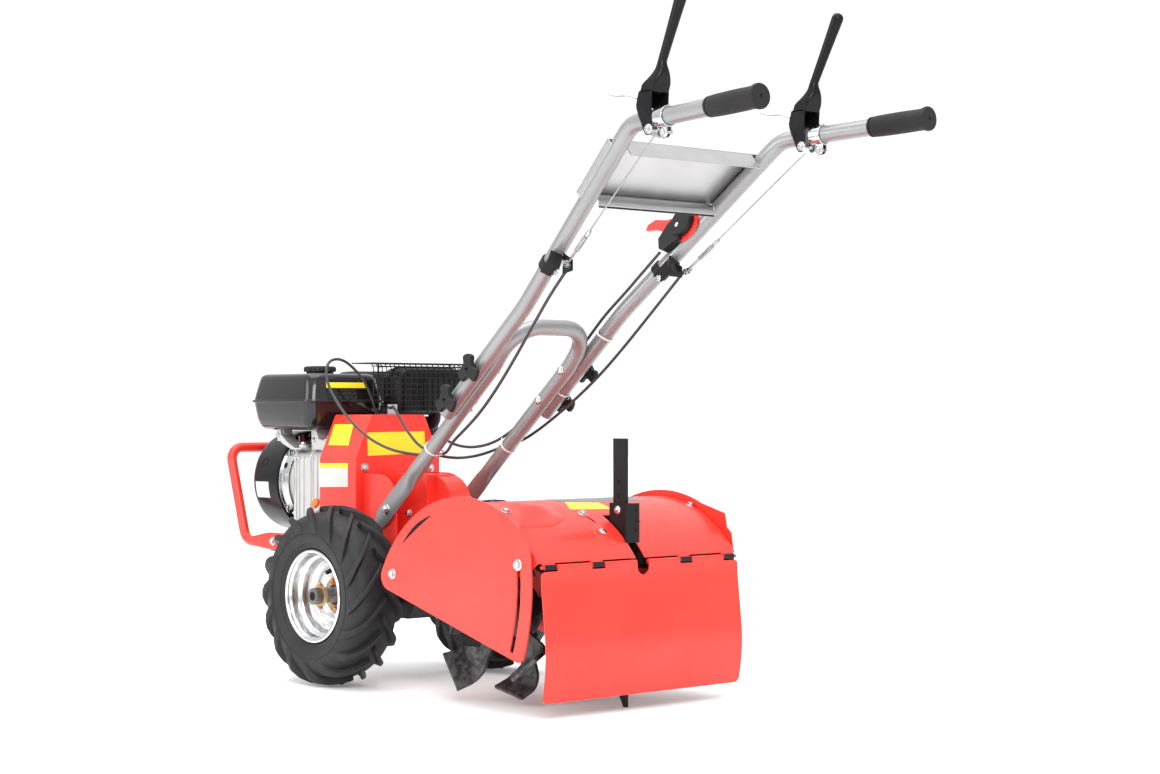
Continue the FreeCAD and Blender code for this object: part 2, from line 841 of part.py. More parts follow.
def make_muffler():
    body = new_body("muffler_can")
    corners = [("muffler_right", MUFFLER_BOTTOM), ("muffler_left", MUFFLER_BOTTOM),
               ("muffler_left", MUFFLER_TOP), ("muffler_right", MUFFLER_TOP)]
    solid = pad(body, outline(body, "XZ", "muffler_outline", corners, "-muffler_rear"),
                "muffler_rear - muffler_front")
    soften(body, solid, "can_round", along("Y"))
    low, high = f"{MUFFLER_BOTTOM} + can_wall", f"{MUFFLER_TOP} - can_wall"
    corners = [("muffler_right + can_wall", low), ("muffler_left - can_wall", low),
               ("muffler_left - can_wall", high), ("muffler_right + can_wall", high)]
    room = outline(body, "XZ", "muffler_room", corners, "-(muffler_front + can_wall)")
    pocket(body, room, "muffler_rear - muffler_front - 2 * can_wall", middle=False, name="Room")
    head_rear = "cover_rear - cover_depth - head_inset"
    pipe = box("muffler_pipe", "muffler_right + pipe_inset", f"{head_rear} + seat_gap",
               f"{MUFFLER_BOTTOM} - pipe_drop", "pipe_width",
               f"muffler_front + pipe_overlap - ({head_rear}) - seat_gap", "pipe_height")
    finish(fuse("muffler_and_pipe", body, pipe), "muffler")


def make_guard():
    """The cage of thin bars round the muffler: a rear face, two ends and a top."""
    left = "(muffler_left + guard_gap)"
    right = "(muffler_right - guard_gap)"
    rear = "(muffler_rear + guard_gap)"
    low = f"({MUFFLER_BOTTOM} + guard_inset)"
    high = f"({MUFFLER_TOP} + guard_gap)"
    bars = []
    uprights = 7
    for number in range(uprights):
        across = f"{right} + ({left} - wire - {right}) * {number} / {uprights - 1}"
        bars.append(box(f"guard_up_{number}", across, rear, low, "wire", "wire", f"{high} - {low}"))
        bars.append(box(f"guard_top_{number}", across, "muffler_front", f"{high} - wire", "wire",
                        f"{rear} + wire - muffler_front", "wire"))
    levels = 4
    for number in range(levels):
        height = f"{low} + ({high} - wire - {low}) * {number} / {levels - 1}"
        bars.append(box(f"guard_rear_{number}", right, rear, height, f"{left} - {right}", "wire", "wire"))
        for name, across in (("left", f"{left} - wire"), ("right", right)):
            bars.append(box(f"guard_{name}_{number}", across, "muffler_front", height, "wire",
                            f"{rear} - muffler_front", "wire"))
    bars.append(box("guard_top_front", right, "muffler_front + guard_inset", f"{high} - wire",
                    f"{left} - {right}", "wire", "wire"))
    height = f"{low} + ({high} - wire - {low}) / {levels - 1}"
    for name, across in (("left", "muffler_left + seat_gap"), ("right", right)):
        bars.append(box(f"guard_foot_{name}", across, "muffler_front + guard_foot_y", height,
                        "guard_gap - seat_gap", "guard_foot_width", "wire"))
    finish(fuse("bar_cage", *bars), "muffler_guard")


def make_intake():
    body = new_body("air_cleaner")
    corners = [("filter_right", FILTER_BOTTOM), ("filter_left", FILTER_BOTTOM), ("filter_left", FILTER_TOP),
               ("filter_right", FILTER_TOP)]
    solid = pad(body, outline(body, "XZ", "filter_outline", corners, "-(filter_front + filter_depth)"),
                "filter_depth")
    soften(body, solid, "filter_round", along("Y"))
    low, high = f"{FILTER_BOTTOM} + filter_wall", f"{FILTER_TOP} - filter_wall"
    corners = [("filter_right + filter_wall", low), ("filter_left - filter_wall", low),
               ("filter_left - filter_wall", high), ("filter_right + filter_wall", high)]
    room = outline(body, "XZ", "filter_room", corners, "-(filter_front + filter_wall)")
    pocket(body, room, "filter_depth - 2 * filter_wall", middle=False, name="Room")
    finish(body, "air_cleaner")
    front = "(drum_front + drum_depth + shroud_depth + seat_gap)"
    bottom = f"({BLOCK_TOP} - carburettor_drop)"
    block = box("carburettor_block", "carburettor_right", f"{front} - carburettor_reach", bottom,
                "carburettor_length", "carburettor_width", f"{FILTER_BOTTOM} - {bottom} - seat_gap")
    finish(block, "carburettor")


make_engine_base()
make_engine()
make_fuel_tank()
make_tank_brackets()
make_muffler()
make_guard()
make_intake()


# ---------------------------------------------------------------- front bumper
def make_bumper():
    half = value("bumper_half")
    leg_end = point("bumper_half", "bumper_leg_end", f"{BUMPER_LOW} + bumper_leg_rise")
    foot = point("bumper_half", "bumper_foot", BUMPER_LOW)
    top = point("bumper_half", "bumper_nose", "bumper_top")
    right = [Vector(-half, place.y, place.z) for place in (top, foot, leg_end)]
    bend = value("bumper_bend")
    bar = tube("bumper_bar", [leg_end, foot, top] + right, [bend] * 4, "bumper_radius")
    flats = []
    for side, sign in SIDES:
        start = "base_half + seat_gap" if sign > 0 else "-(base_half + seat_gap + flat_wall)"
        body = new_body(side + "_bumper_flat")
        low, high = f"{BUMPER_LOW} - flat_low", f"{BUMPER_LOW} + flat_high"
        corners = [("flat_front", f"{BUMPER_LOW} - bumper_radius"), ("flat_full", low), ("flat_rear", low),
                   ("flat_rear", high), ("flat_full", high), ("flat_front", f"{BUMPER_LOW} + bumper_radius")]
        pad(body, outline(body, "YZ", side + "_flat_outline", corners, start), "flat_wall")
        flats.append(body)
    finish(fuse("bumper_loop", bar, *flats), "front_bumper")


make_bumper()


# ---------------------------------------------------------------- handlebars
def turned_box(name, centre, turn, length, width, height):
    """A box centred on a place, with its own turn; its sizes are bound."""
    item = doc.addObject("Part::Box", name)
    bind(item, Length=length, Width=width, Height=height)
    corner = Vector(-value(length) / 2, -value(width) / 2, -value(height) / 2)
    item.Placement = Placement(centre, turn) * Placement(corner, Rotation())
    return item


def on_leg(across, along_y):
    """The point of the lower legs' straight line at one Y."""
    return point(across, along_y, f"foot_z + {LEG_SLOPE} * (({along_y}) - foot_y)")


def slope_turn(first, last):
    """The turn about X that lays local +Y along a line in the side view."""
    return Rotation(Vector(1, 0, 0), math.degrees(math.atan2(last.z - first.z, last.y - first.y)))


def make_handle_plates():
    """Folded brackets that stand on the gear case and carry the feet of the handlebar."""
    face = "leg_half - foot_wall / 2 - seat_gap"
    front = "cover_rear + seat_gap"
    low = "base_top + seat_gap"
    for side, sign in SIDES:
        body = new_body("handle_plate_" + side)
        corners = [(front, low), ("plate_rear", low), ("plate_rear", "case_top - plate_round", "plate_round"),
                   ("plate_rear - plate_round", "case_top"), (front, "case_top")]
        lift = f"{face} - plate_wall" if sign > 0 else f"-({face})"
        pad(body, outline(body, "YZ", side + "_plate_outline", corners, lift), "plate_wall")
        ends = ("case_half + seat_gap", face)
        low_x, high_x = ends if sign > 0 else (f"-({ends[1]})", f"-({ends[0]})")
        corners = [(low_x, low), (high_x, low), (high_x, "case_top"), (low_x, "case_top")]
        pad(body, outline(body, "XZ", side + "_plate_flange", corners, f"-({front} + plate_wall)"),
            "plate_wall", name="Flange")
        finish(body, "handle_plate_" + side)


def make_lower_handlebar():
    half = value("leg_half")
    foot = on_leg("leg_half", "foot_y + foot_run")
    knee = on_leg("leg_half", "arch_low_y")
    crown = point("leg_half", "arch_y", "arch_z")
    right = [Vector(-half, place.y, place.z) for place in (crown, knee, foot)]
    bend = value("arch_bend")
    knee_bend = value("knee_bend")
    bar = tube("lower_bar", [foot, knee, crown] + right, [knee_bend, bend, bend, knee_bend], "tube_radius")
    turn = slope_turn(foot, knee)
    flats = []
    for side, sign in SIDES:
        middle = on_leg(f"{sign} * leg_half", "foot_y + foot_shift")
        flats.append(turned_box(side + "_foot", middle, turn, "foot_wall", "2 * (foot_run + foot_past)",
                                "foot_width"))
    finish(fuse("lower_handlebar_loop", bar, *flats), "lower_handlebar")


def upper_line(sign):
    """The corners of an upper handlebar, from its lower end to the end of its grip."""
    half = f"{sign} * (leg_half + 2 * tube_radius + seat_gap)"
    return [on_leg(half, "upper_start"), on_leg(half, "upper_bend_y"),
            point(f"{sign} * bend_half", "bend_y", "bend_z"),
            point(f"{sign} * bar_half", "bar_end", "bar_rise")]


def on_bar(sign, along_y):
    """The point of the bar under the grip at one Y, and the bar's direction."""
    line = upper_line(sign)
    run = line[3] - line[2]
    return line[2] + run * ((value(along_y) - line[2].y) / run.y), run.normalize()


def make_upper_handlebars():
    for side, sign in SIDES:
        bends = [value("upper_bend"), value("bar_bend")]
        bar = tube("upper_bar_" + side, upper_line(sign), bends, "tube_radius")
        finish(bar, "upper_handlebar_" + side)


def make_grips():
    for side, sign in SIDES:
        body = new_body("grip_" + side)
        bore = "tube_radius + seat_gap"
        closed = "grip_length - grip_end_wall + seat_gap"
        corners = [("0", bore), ("0", "grip_lip"), ("lip_width", "grip_lip"), ("lip_end", "grip_radius"),
                   ("grip_length - lip_end", "grip_radius"), ("grip_length - lip_width", "grip_lip"),
                   ("grip_length", "grip_lip"), ("grip_length", "0"), (closed, "0"), (closed, bore)]
        turned(body, outline(body, "XY", side + "_grip_section", corners))
        end, run = on_bar(sign, "bar_end")
        start = end - run * (value("grip_length") - value("grip_end_wall"))
        body.Placement = Placement(start, Rotation(Vector(1, 0, 0), run))
        body.setExpression("Placement.Base.y", cells(f"{start.y}"))
        finish(body, "grip_" + side)


def make_tray():
    """The folded plate that lies on the upper handlebars, with its ends turned down between them."""
    first, last = upper_line(1)[1:3]
    run = last - first
    turn = slope_turn(first, last)
    low = first + run * ((value("tray_low") - first.y) / run.y)
    high = first + run * ((value("tray_high") - first.y) / run.y)
    length = math.hypot(high.y - low.y, high.z - low.z)
    radius = value("tube_radius")
    wall = value("tray_wall")
    body = new_body("handle_tray")
    rest = radius + value("seat_gap")
    reach = rest + wall
    top = [(f"{-low.x - reach}", "0"), (f"{low.x + reach}", "0"), (f"{high.x + reach}", f"{length}"),
           (f"{-high.x - reach}", f"{length}")]
    pad(body, outline(body, "XY", "tray_top", top, f"{rest}"), "tray_wall")
    for name, place, along_y in (("low", low, 0), ("high", high, length - wall)):
        inner = place.x - rest - value("tray_clear")
        corners = [(f"{-inner}", f"{along_y}"), (f"{inner}", f"{along_y}"),
                   (f"{inner}", f"{along_y + wall}"), (f"{-inner}", f"{along_y + wall}")]
        pad(body, outline(body, "XY", f"tray_{name}_end", corners, f"{reach} - tray_flange"), "tray_flange",
            name=name + "_flange")
    for sign in (1, -1):
        strip = [(f"{sign * (low.x + rest)}", "0"), (f"{sign * (low.x + reach)}", "0"),
                 (f"{sign * (high.x + reach)}", f"{length}"), (f"{sign * (high.x + rest)}", f"{length}")]
        strip = strip if sign > 0 else strip[::-1]
        pad(body, outline(body, "XY", f"tray_side_{sign + 1}", strip, "tray_side_low"), f"{rest}",
            name="side")
    body.Placement = Placement(Vector(0, low.y, low.z), turn)
    body.setExpression("Placement.Base.y", cells(f"{low.y}"))
    finish(body, "handle_tray")


def make_knobs():
    """Three-lobed hand nuts on the outside of the upper handlebars."""
    face = "leg_half + 3 * tube_radius + 2 * seat_gap"
    for side, sign in SIDES:
        for level, along_y in (("lower", "knob_low_y"), ("upper", "knob_high_y")):
            name = f"{side}_{level}_knob"
            body = new_body(name)
            lift = face if sign > 0 else f"-({face} + knob_depth)"
            pad(body, rings(body, "YZ", name + "_boss", [("0", "0", "knob_radius")], lift), "knob_depth")
            arm = [("-lobe_root", "0"), ("lobe_root", "0"), ("lobe_tip", "knob_reach"),
                   ("-lobe_tip", "knob_reach")]
            lobe = pad(body, outline(body, "YZ", name + "_lobe", arm, lift), "knob_depth - lobe_step",
                       name="Lobe")
            turns = body.newObject("PartDesign::PolarPattern", name + "_lobes")
            turns.Originals = [lobe]
            turns.Axis = (origin_part(body, "X_Axis"), [""])
            turns.Angle = 360
            turns.Occurrences = 3
            body.Tip = turns
            bind(body, y=along_y, z=f"foot_z + {LEG_SLOPE} * ({along_y} - foot_y)")
            finish(body, name)


LEVER_SIDE = (("-3", "19"), ("7", "-4"), ("15", "-21"), ("21", "-27"), ("29", "-27"), ("32", "-21"),
              ("32", "-8"), ("32", "30"), ("33", "46"), ("43", "58"), ("44", "72"), ("38", "85"), ("26", "82"),
              ("9", "60"), ("4", "43"))
LEVER_ROOM = (("-40", "-40"), ("70", "-40"), ("70", "48"), ("34", "52"), ("22", "56"), ("12", "50"),
              ("-40", "30"))


def make_lever_clamps():
    """Rings round the bars, each with a lug below and an arm that carries a lever's pivot."""
    for side, sign in SIDES:
        middle, run = on_bar(sign, "clamp_y")
        body = new_body("lever_clamp_" + side)
        half = "clamp_width / 2"
        bore = "tube_radius + seat_gap"
        outer = f"{bore} + clamp_wall"
        ring = [(f"-{half}", bore), (half, bore), (half, outer), (f"-{half}", outer)]
        turned(body, outline(body, "XY", side + "_clamp_section", ring))
        low = "-(tube_radius + lug_reach)"
        lug = [(f"-{half}", low), (half, low), (half, f"over - ({outer})"), (f"-{half}", f"over - ({outer})")]
        pad(body, outline(body, "XZ", side + "_clamp_lug", lug), "lug_wall", middle=True, name="Lug")
        low = "-(tube_radius + arm_reach)"
        arm = [(f"-{half} - arm_run", low), (f"over - {half}", low), (f"over - {half}", f"over - ({outer})"),
               (f"-{half} - arm_run", f"-({outer} + over)")]
        pad(body, outline(body, "XZ", side + "_clamp_arm", arm), "arm_wall", middle=True, name="Arm")
        body.Placement = Placement(middle, Rotation(Vector(1, 0, 0), run))
        body.setExpression("Placement.Base.y", cells(f"{middle.y}"))
        finish(body, "lever_clamp_" + side)


def make_clutch_levers():
    """The tall hand levers: two cheeks astride the bar, joined at the back, and a stem."""
    for side, sign in SIDES:
        centre = on_bar(sign, "clamp_y - lever_back")[0]
        cheeks = new_body("clutch_lever_cheeks_" + side)
        pad(cheeks, outline(cheeks, "YZ", side + "_lever_side", LEVER_SIDE),
            "2 * (tube_radius + lever_gap + lever_wall)", middle=True)
        pocket(cheeks, outline(cheeks, "YZ", side + "_lever_room", LEVER_ROOM),
               "2 * (tube_radius + lever_gap)")
        cheeks.Placement = Placement(centre, Rotation())
        root = centre + point("0", "stem_root_y", "stem_root_z")
        tip = centre + point(f"{sign} * stem_lean", "stem_tip_y", "stem_tip_z")
        stem = tube("lever_stem_" + side, [root, tip], [], "stem_radius")
        cap = doc.addObject("Part::Sphere", "lever_cap_" + side)
        bind(cap, Radius="stem_radius")
        cap.Placement = Placement(tip, Rotation())
        finish(fuse("lever_whole_" + side, cheeks, stem, cap), "clutch_lever_" + side)


def make_throttle():
    """The throttle's housing beside the right bar, turned to face the user, and its thumb lever."""
    line = upper_line(-1)
    run = (line[2] - line[1]).normalize()
    spot = line[1] + run * ((value("throttle_y") - line[1].y) / run.y)
    facing = Vector(1, 0, 0) - run * run.x
    facing = Rotation(run, value("throttle_turn")).multVec(facing.normalize())
    turn = Rotation(run, facing.cross(run), facing, "XZY")
    base = "tube_radius + seat_gap"

    body = new_body("throttle_body")
    deck = f"{base} + throttle_wall + seat_gap"
    disc = [("0", "throttle_set", "throttle_radius - throttle_step")]
    pad(body, rings(body, "XY", "throttle_cap", disc, deck), "throttle_cap_depth")
    cover = [("-66", "10"), ("-58", "-2"), ("-20", "-10"), ("0", "10"), ("0", "40"), ("-30", "42"),
             ("-60", "32")]
    pad(body, outline(body, "XY", "throttle_cover", cover, deck), "throttle_cover_depth", name="Cover")
    neck = [("-66", "10"), ("-58", "-2"), ("-35", "-6"), ("-35", "35"), ("-60", "32")]
    pad(body, outline(body, "XY", "throttle_neck", neck, base), "throttle_neck_depth", name="Neck")
    body.Placement = Placement(spot, turn)
    body.setExpression("Placement.Base.y", cells(f"{spot.y}"))
    finish(body, "throttle_body")

    lever = new_body("throttle_lever")
    pad(lever, rings(lever, "XY", "throttle_disc", [("0", "throttle_set", "throttle_radius")], base),
        "throttle_wall")
    arm = [("0", "30"), ("-14", "49"), ("-36", "65"), ("-59", "91"), ("-79", "98"), ("-88", "91"),
           ("-66", "71"), ("-52", "50"), ("-26", "34")]
    pad(lever, outline(lever, "XY", "throttle_arm", arm, base), "throttle_wall", name="Arm")
    lever.Placement = Placement(spot, turn)
    lever.setExpression("Placement.Base.y", cells(f"{spot.y}"))
    finish(lever, "throttle_lever")


def make_cable_brackets():
    """Straps round the upper bars, each with an ear that holds the end of a clutch cable's sheath."""
    for side, sign in SIDES:
        line = upper_line(sign)
        run = line[2] - line[1]
        spot = line[1] + run * ((value("strap_y") - line[1].y) / run.y)
        body = new_body("cable_bracket_" + side)
        inner = "tube_radius + seat_gap"
        outer = f"{inner} + strap_wall"
        band = [("-band_half", inner), ("band_half", inner), ("band_half", outer), ("-band_half", outer)]
        turned(body, outline(body, "XY", side + "_strap_band", band))
        strip = [("-strip_back", f"-({outer})"), ("strap_run", f"-({outer})"), ("strap_run", f"-({inner})"),
                 ("-strip_back", f"-({inner})")]
        pad(body, outline(body, "XZ", side + "_strap_strip", strip), "strip_width", middle=True, name="Strip")
        ear = [("strap_run - strap_wall", "-strap_reach"), ("strap_run", "-strap_reach"),
               ("strap_run", f"-({inner})"), ("strap_run - strap_wall", f"-({inner})")]
        pad(body, outline(body, "XZ", side + "_strap_ear", ear), "strap_ear", middle=True, name="Ear")
        body.Placement = Placement(spot, Rotation(Vector(1, 0, 0), run))
        body.setExpression("Placement.Base.y", cells(f"{spot.y}"))
        finish(body, "cable_bracket_" + side)


def make_cable(label, places):
    """A cable of straight runs joined by arcs through hand-chosen places."""
    places = [point(*place) for place in places]
    radii = []
    for before, here, after in zip(places, places[1:], places[2:]):
        turn = (here - before).getAngle(after - here)
        shorter = min(here.distanceToPoint(before), here.distanceToPoint(after))
        radii.append(0.45 * shorter / math.tan(turn / 2))
    print(label, "bends of at least", round(min(radii)), "mm")
    finish(tube(label, places, radii, "cable_radius"), label)


def make_cable_stop():
    """The small angle on the belt cover that the clutch cables end at."""
    stop = new_body("cable_stop")
    level = f"{COVER_TOP} + seat_gap"
    inner = "stop_rear - stop_wall"
    corners = [("stop_front", level), ("stop_rear", level), ("stop_rear", f"{level} + stop_height"),
               (inner, f"{level} + stop_height"), (inner, f"{level} + stop_wall"),
               ("stop_front", f"{level} + stop_wall")]
    pad(stop, outline(stop, "YZ", "stop_outline", corners, "stop_right"), "stop_width")
    finish(stop, "cable_stop")


def make_cables():
    make_cable("clutch_cable_left", [
        (137, 606.6, 766.4), (136, 564, 729), (133, 512, 674), (131, 460, 616), (129, 407, 561),
        (126, 354, 515), (120, 301, 483), (108, 252, 461), (87, 214, 444), (69, 176, 436), (66, 134, 434),
        (80, 92, 436),
        (95, 46, 444), (107, -2, 464), (113, -50, 494), (117, -95, 535), (118, -130, 580), (101, -147, 616),
        (64, -151, 622), (29, -147, 597), (2, -141, 560), (-12, -138, 511.2)])
    make_cable("clutch_cable_right", [
        (-137, 606.6, 766.4), (-136, 560, 726), (-134, 508, 680), (-132, 454, 633), (-129, 397, 586),
        (-125, 340, 545), (-120, 284, 509), (-115, 231, 478), (-114, 184, 458), (-107, 140, 448),
        (-75, 121, 434), (-33, 130, 429), (12, 144, 428), (50, 137, 433), (66, 101, 450), (60, 58, 477),
        (46, 16, 503), (29, -22, 521), (10, -58, 528), (-24, -97.8, 523)])
    make_cable("throttle_cable", [
        (-111.9, 571.8, 802.6), (-107, 533, 769), (-103, 487, 730), (-102, 437, 694), (-105.7, 385, 650),
        (-105.7, 330, 602), (-105.7, 275, 555), (-104, 225, 514), (-98, 180, 479), (-86, 137, 455),
        (-70, 96, 446), (-64, 52, 450), (-72, 8, 461), (-86, -36, 472), (-95, -84, 482), (-97, -136, 490),
        (-96, -190, 493), (-96, -242, 486), (-101, -282, 464), (-127.8, -299, 447)])


make_handle_plates()
make_lower_handlebar()
make_upper_handlebars()
make_grips()
make_tray()
make_knobs()
make_lever_clamps()
make_clutch_levers()
make_throttle()
make_cable_brackets()
make_cable_stop()
make_cables()


# ---------------------------------------------------------------- hood, shields, flap and stake
def hood_point(radius, angle):
    """Formulas for a point of a circle about the hood's centre."""
    return f"hood_y + ({radius}) * cos({angle})", f"hood_z + ({radius}) * sin({angle})"


PIN_ANGLE = "(flap_angle - 1.9)"
PIN_Y, PIN_Z = hood_point("hood_radius - hood_wall / 2", PIN_ANGLE)


def make_hood():
    """The curved cover, its end walls, the knuckles and pin of the flap's hinge."""
    sweep = "hood_front_angle - flap_angle"
    outer = rod("hood_outer", "X", "-hood_half", "hood_y", "hood_z", "hood_radius", "2 * hood_half",
                "flap_angle", sweep)
    inner = rod("hood_inner", "X", "-hood_half - over", "hood_y", "hood_z", "hood_radius - hood_wall",
                "2 * (hood_half + over)", "flap_angle - over", f"{sweep} + 2 * over")
    shell = cut("hood_shell", outer, inner)
    pieces = [shell]
    for side, sign in SIDES:
        body = new_body(side + "_hood_end")
        low_y, low_z = hood_point("hood_radius - over", "flap_angle")
        high_y, high_z = hood_point("hood_radius - over", "hood_front_angle")
        corners = [(low_y, low_z, "hood_radius - over"), (high_y, high_z),
                   ("pivot_y - end_toe", "pivot_z - end_toe_drop"),
                   ("pivot_y + end_heel", "pivot_z - end_drop"),
                   ("pivot_y + slot_radius + end_past", "pivot_z + end_rise")]
        lift = "hood_half - hood_wall" if sign > 0 else "-hood_half"
        pad(body, outline(body, "YZ", side + "_end_outline", corners, lift), "hood_wall")
        pieces.append(body)
    slot = box("hood_slot", "-slot_half", "way_front", "hood_z + way_rise", "2 * slot_half", "way_depth",
               "way_height")
    gate = box("hood_gate", "-drive_half - seat_gap", "hood_y - hood_radius - throat_gap",
               "hood_z + way_rise", "2 * (drive_half + seat_gap)", "gate_depth", "gate_height")
    opened = cut("hood_open", fuse("hood_walls", *pieces), fuse("hood_ways", slot, gate))
    pieces = [opened]
    length = "hood_half - hood_wall - pin_gap - slot_half"
    pieces.append(rod("hinge_pin_left", "X", "slot_half + pin_gap", PIN_Y, PIN_Z, "pin_radius", length))
    pieces.append(rod("hinge_pin_right", "X", "hood_wall - hood_half", PIN_Y, PIN_Z, "pin_radius", length))
    for number, across in enumerate(KNUCKLES):
        pieces.append(rod(f"knuckle_{number}", "X", f"{across} - knuckle_half", PIN_Y, PIN_Z, "hinge_radius",
                          "2 * knuckle_half"))
        link = doc.addObject("Part::Box", f"knuckle_link_{number}")
        link.Placement = Placement(Vector(), Rotation(Vector(1, 0, 0), value("flap_angle")))
        bind(link, x=f"{across} - knuckle_half", y=f"{PIN_Y} - over", z=PIN_Z, Length="2 * knuckle_half",
             Width="hood_wall", Height="link_height")
        pieces.append(link)
    finish(fuse("hood_whole", *pieces), "hood")


REACH = 500
FAR_CORNER = (("470", "369.5"), ("540", "250"), ("622", "240"), ("620", "269"), ("607", "332"))


def far_corner(start):
    """The corner that the right shield has where the left one is round."""
    body = new_body("shield_far_corner")
    pad(body, outline(body, "YZ", "far_corner_outline", FAR_CORNER, start), "shield_wall")
    return body


def round_shield(name, plate):
    """Round the shield's foremost corner and its lowest one."""
    doc.recompute()
    across = []
    for index, edge in enumerate(plate.Shape.Edges, start=1):
        first, last = edge.Vertexes[0].Point, edge.Vertexes[-1].Point
        if abs(last.x - first.x) > 0.9 * value("shield_wall"):
            across.append((index, first))
    front = min(across, key=lambda found: found[1].y)[0]
    lowest = min(across, key=lambda found: found[1].z)[0]
    item = doc.addObject("Part::Fillet", name)
    item.Base = plate
    item.Edges = [(front, value("shield_corner"), value("shield_corner")),
                  (lowest, value("shield_tip"), value("shield_tip"))]
    return item


def make_shields():
    """Side shields that turn about their front bolt along a slot; the bolts stand on the hood."""
    for side, sign in SIDES:
        start = "hood_half + shield_gap" if sign > 0 else "-(hood_half + shield_gap + shield_wall)"
        disc = rod(side + "_shield_disc", "X", start, "hood_y", "hood_z", "shield_radius", "shield_wall")
        fan = rod(side + "_shield_fan", "X", start, "pivot_y", "pivot_z", "shield_reach", "shield_wall")
        blank = common(side + "_shield_blank", disc, fan)
        below = doc.addObject("Part::Box", side + "_shield_below")
        bind(below, Length="shield_wall + 2 * over", Width=2 * REACH, Height=REACH)
        turn = Rotation(Vector(1, 0, 0), value("shield_slope"))
        edge = point(start, "shield_low_y", "shield_low_z")
        below.Placement = Placement(edge + turn * Vector(-value("over"), -REACH, -REACH), turn)
        if sign < 0:
            blank = fuse("shield_with_corner", blank, far_corner(start))
        plate = cut(side + "_shield_plate", blank, below)
        plate = round_shield(side + "_shield_rounded", plate)
        slot_out = rod(side + "_slot_out", "X", f"{start} - over", "pivot_y", "pivot_z",
                       "slot_radius + pivot_radius", "shield_wall + 2 * over", "slot_low",
                       "slot_high - slot_low")
        slot_in = rod(side + "_slot_in", "X", f"{start} - 2 * over", "pivot_y", "pivot_z",
                      "slot_radius - pivot_radius", "shield_wall + 4 * over", "slot_low - over",
                      "slot_high - slot_low + 2 * over")
        slot = cut(side + "_slot", slot_out, slot_in)
        ends = [rod(f"{side}_slot_end_{name}", "X", f"{start} - over",
                    f"pivot_y + slot_radius * cos({angle})", f"pivot_z + slot_radius * sin({angle})",
                    "pivot_radius", "shield_wall + 2 * over")
                for name, angle in (("low", "slot_low"), ("high", "slot_high"))]
        hole = rod(side + "_pivot_hole", "X", f"{start} - over", "pivot_y", "pivot_z", "pivot_radius",
                   "shield_wall + 2 * over")
        finish(cut(side + "_shield_cut", plate, fuse(side + "_shield_holes", slot, hole, *ends)),
               side + "_side_shield")


def make_flap():
    """The rear flap: a plate with barrels that turn on the hood's hinge pin."""
    barrels = []
    for number, (low, high) in enumerate(BARRELS):
        length = f"({high}) - ({low})"
        barrels.append(rod(f"flap_barrel_{number}", "X", low, "0", "0", "hinge_radius", length))
        barrels.append(box(f"flap_tab_{number}", low, "-flap_wall / 2", "-tab_drop", length, "flap_wall",
                           "tab_height"))
    half = "(hood_half + shield_gap - flap_side_gap)"
    sheet_part = new_body("flap_sheet")
    near, far = "flap_wall / 2", "-flap_wall / 2"
    in_y, in_z = "flap_tail * sin(flap_fold)", "flap_tail * cos(flap_fold)"
    corners = [(far, "-sheet_drop"), (far, "-flap_bend"), (f"{far} - {in_y}", f"-flap_bend - {in_z}"),
               (f"{near} - {in_y}", f"-flap_bend - {in_z}"), (near, "-flap_bend"), (near, "-sheet_drop")]
    pad(sheet_part, outline(sheet_part, "YZ", "flap_outline", corners), f"2 * {half}", middle=True)
    hole = rod("flap_bore", "X", "-hood_half", "0", "0", "pin_radius + running_gap", "2 * hood_half")
    notch = rod("flap_notch", "Y", "0", "-flap_wall", "-notch_drop", "notch_radius", "2 * flap_wall")
    body = cut("flap_cut", fuse("flap_whole", sheet_part, *barrels), fuse("flap_holes", hole, notch))
    body.Placement = Placement(Vector(), Rotation(Vector(1, 0, 0), value("flap_lean")))
    bind(body, y=PIN_Y, z=PIN_Z)
    finish(body, "rear_flap")


def make_stake():
    """The flat depth stake with its row of holes, and the angle that guides it on the hood."""
    body = new_body("depth_stake")
    rear = "stake_y + stake_depth / 2"
    front = "stake_y - stake_depth / 2"
    corners = [(rear, "stake_top"), (front, "stake_top"), (front, "stake_point"), (f"{rear} - point_wide", "0"),
               (rear, "0")]
    pad(body, outline(body, "YZ", "stake_outline", corners), "stake_wall", middle=True)
    holes = [("stake_y", f"stake_top - hole_drop - {number} * hole_pitch", "stake_hole")
             for number in range(round(value("hole_count")))]
    pocket(body, rings(body, "YZ", "stake_holes", holes))
    finish(body, "depth_stake")

    half = "stake_wall / 2 + seat_gap"
    start = f"{front} - bracket_past"
    depth = f"bracket_rear - ({start})"
    height = "bracket_top - bracket_low"
    near = box("bracket_side", half, start, "bracket_low", "bracket_wall", depth, height)
    far = box("bracket_far", f"-({half}) - bracket_wall", start, "bracket_low", "bracket_wall", depth, height)
    back = box("bracket_back", "-notch_radius - bracket_wall", "bracket_rear - bracket_wall", "bracket_low",
               f"notch_radius + {half} + 2 * bracket_wall + bracket_tab", "bracket_wall", height)
    room = rod("bracket_room", "X", "-3 * bracket_past - notch_radius", "hood_y", "hood_z",
               "hood_radius + seat_gap", "2 * (3 * bracket_past + notch_radius)")
    finish(cut("bracket_cut", fuse("bracket_walls", near, back, far), room), "stake_bracket")


KNUCKLES = ("-214", "-105", "105", "214")
BARRELS = (("-198", "-121"), ("-89", "-slot_half - 4"), ("slot_half + 4", "89"), ("121", "198"))
make_hood()
make_shields()
make_flap()
make_stake()


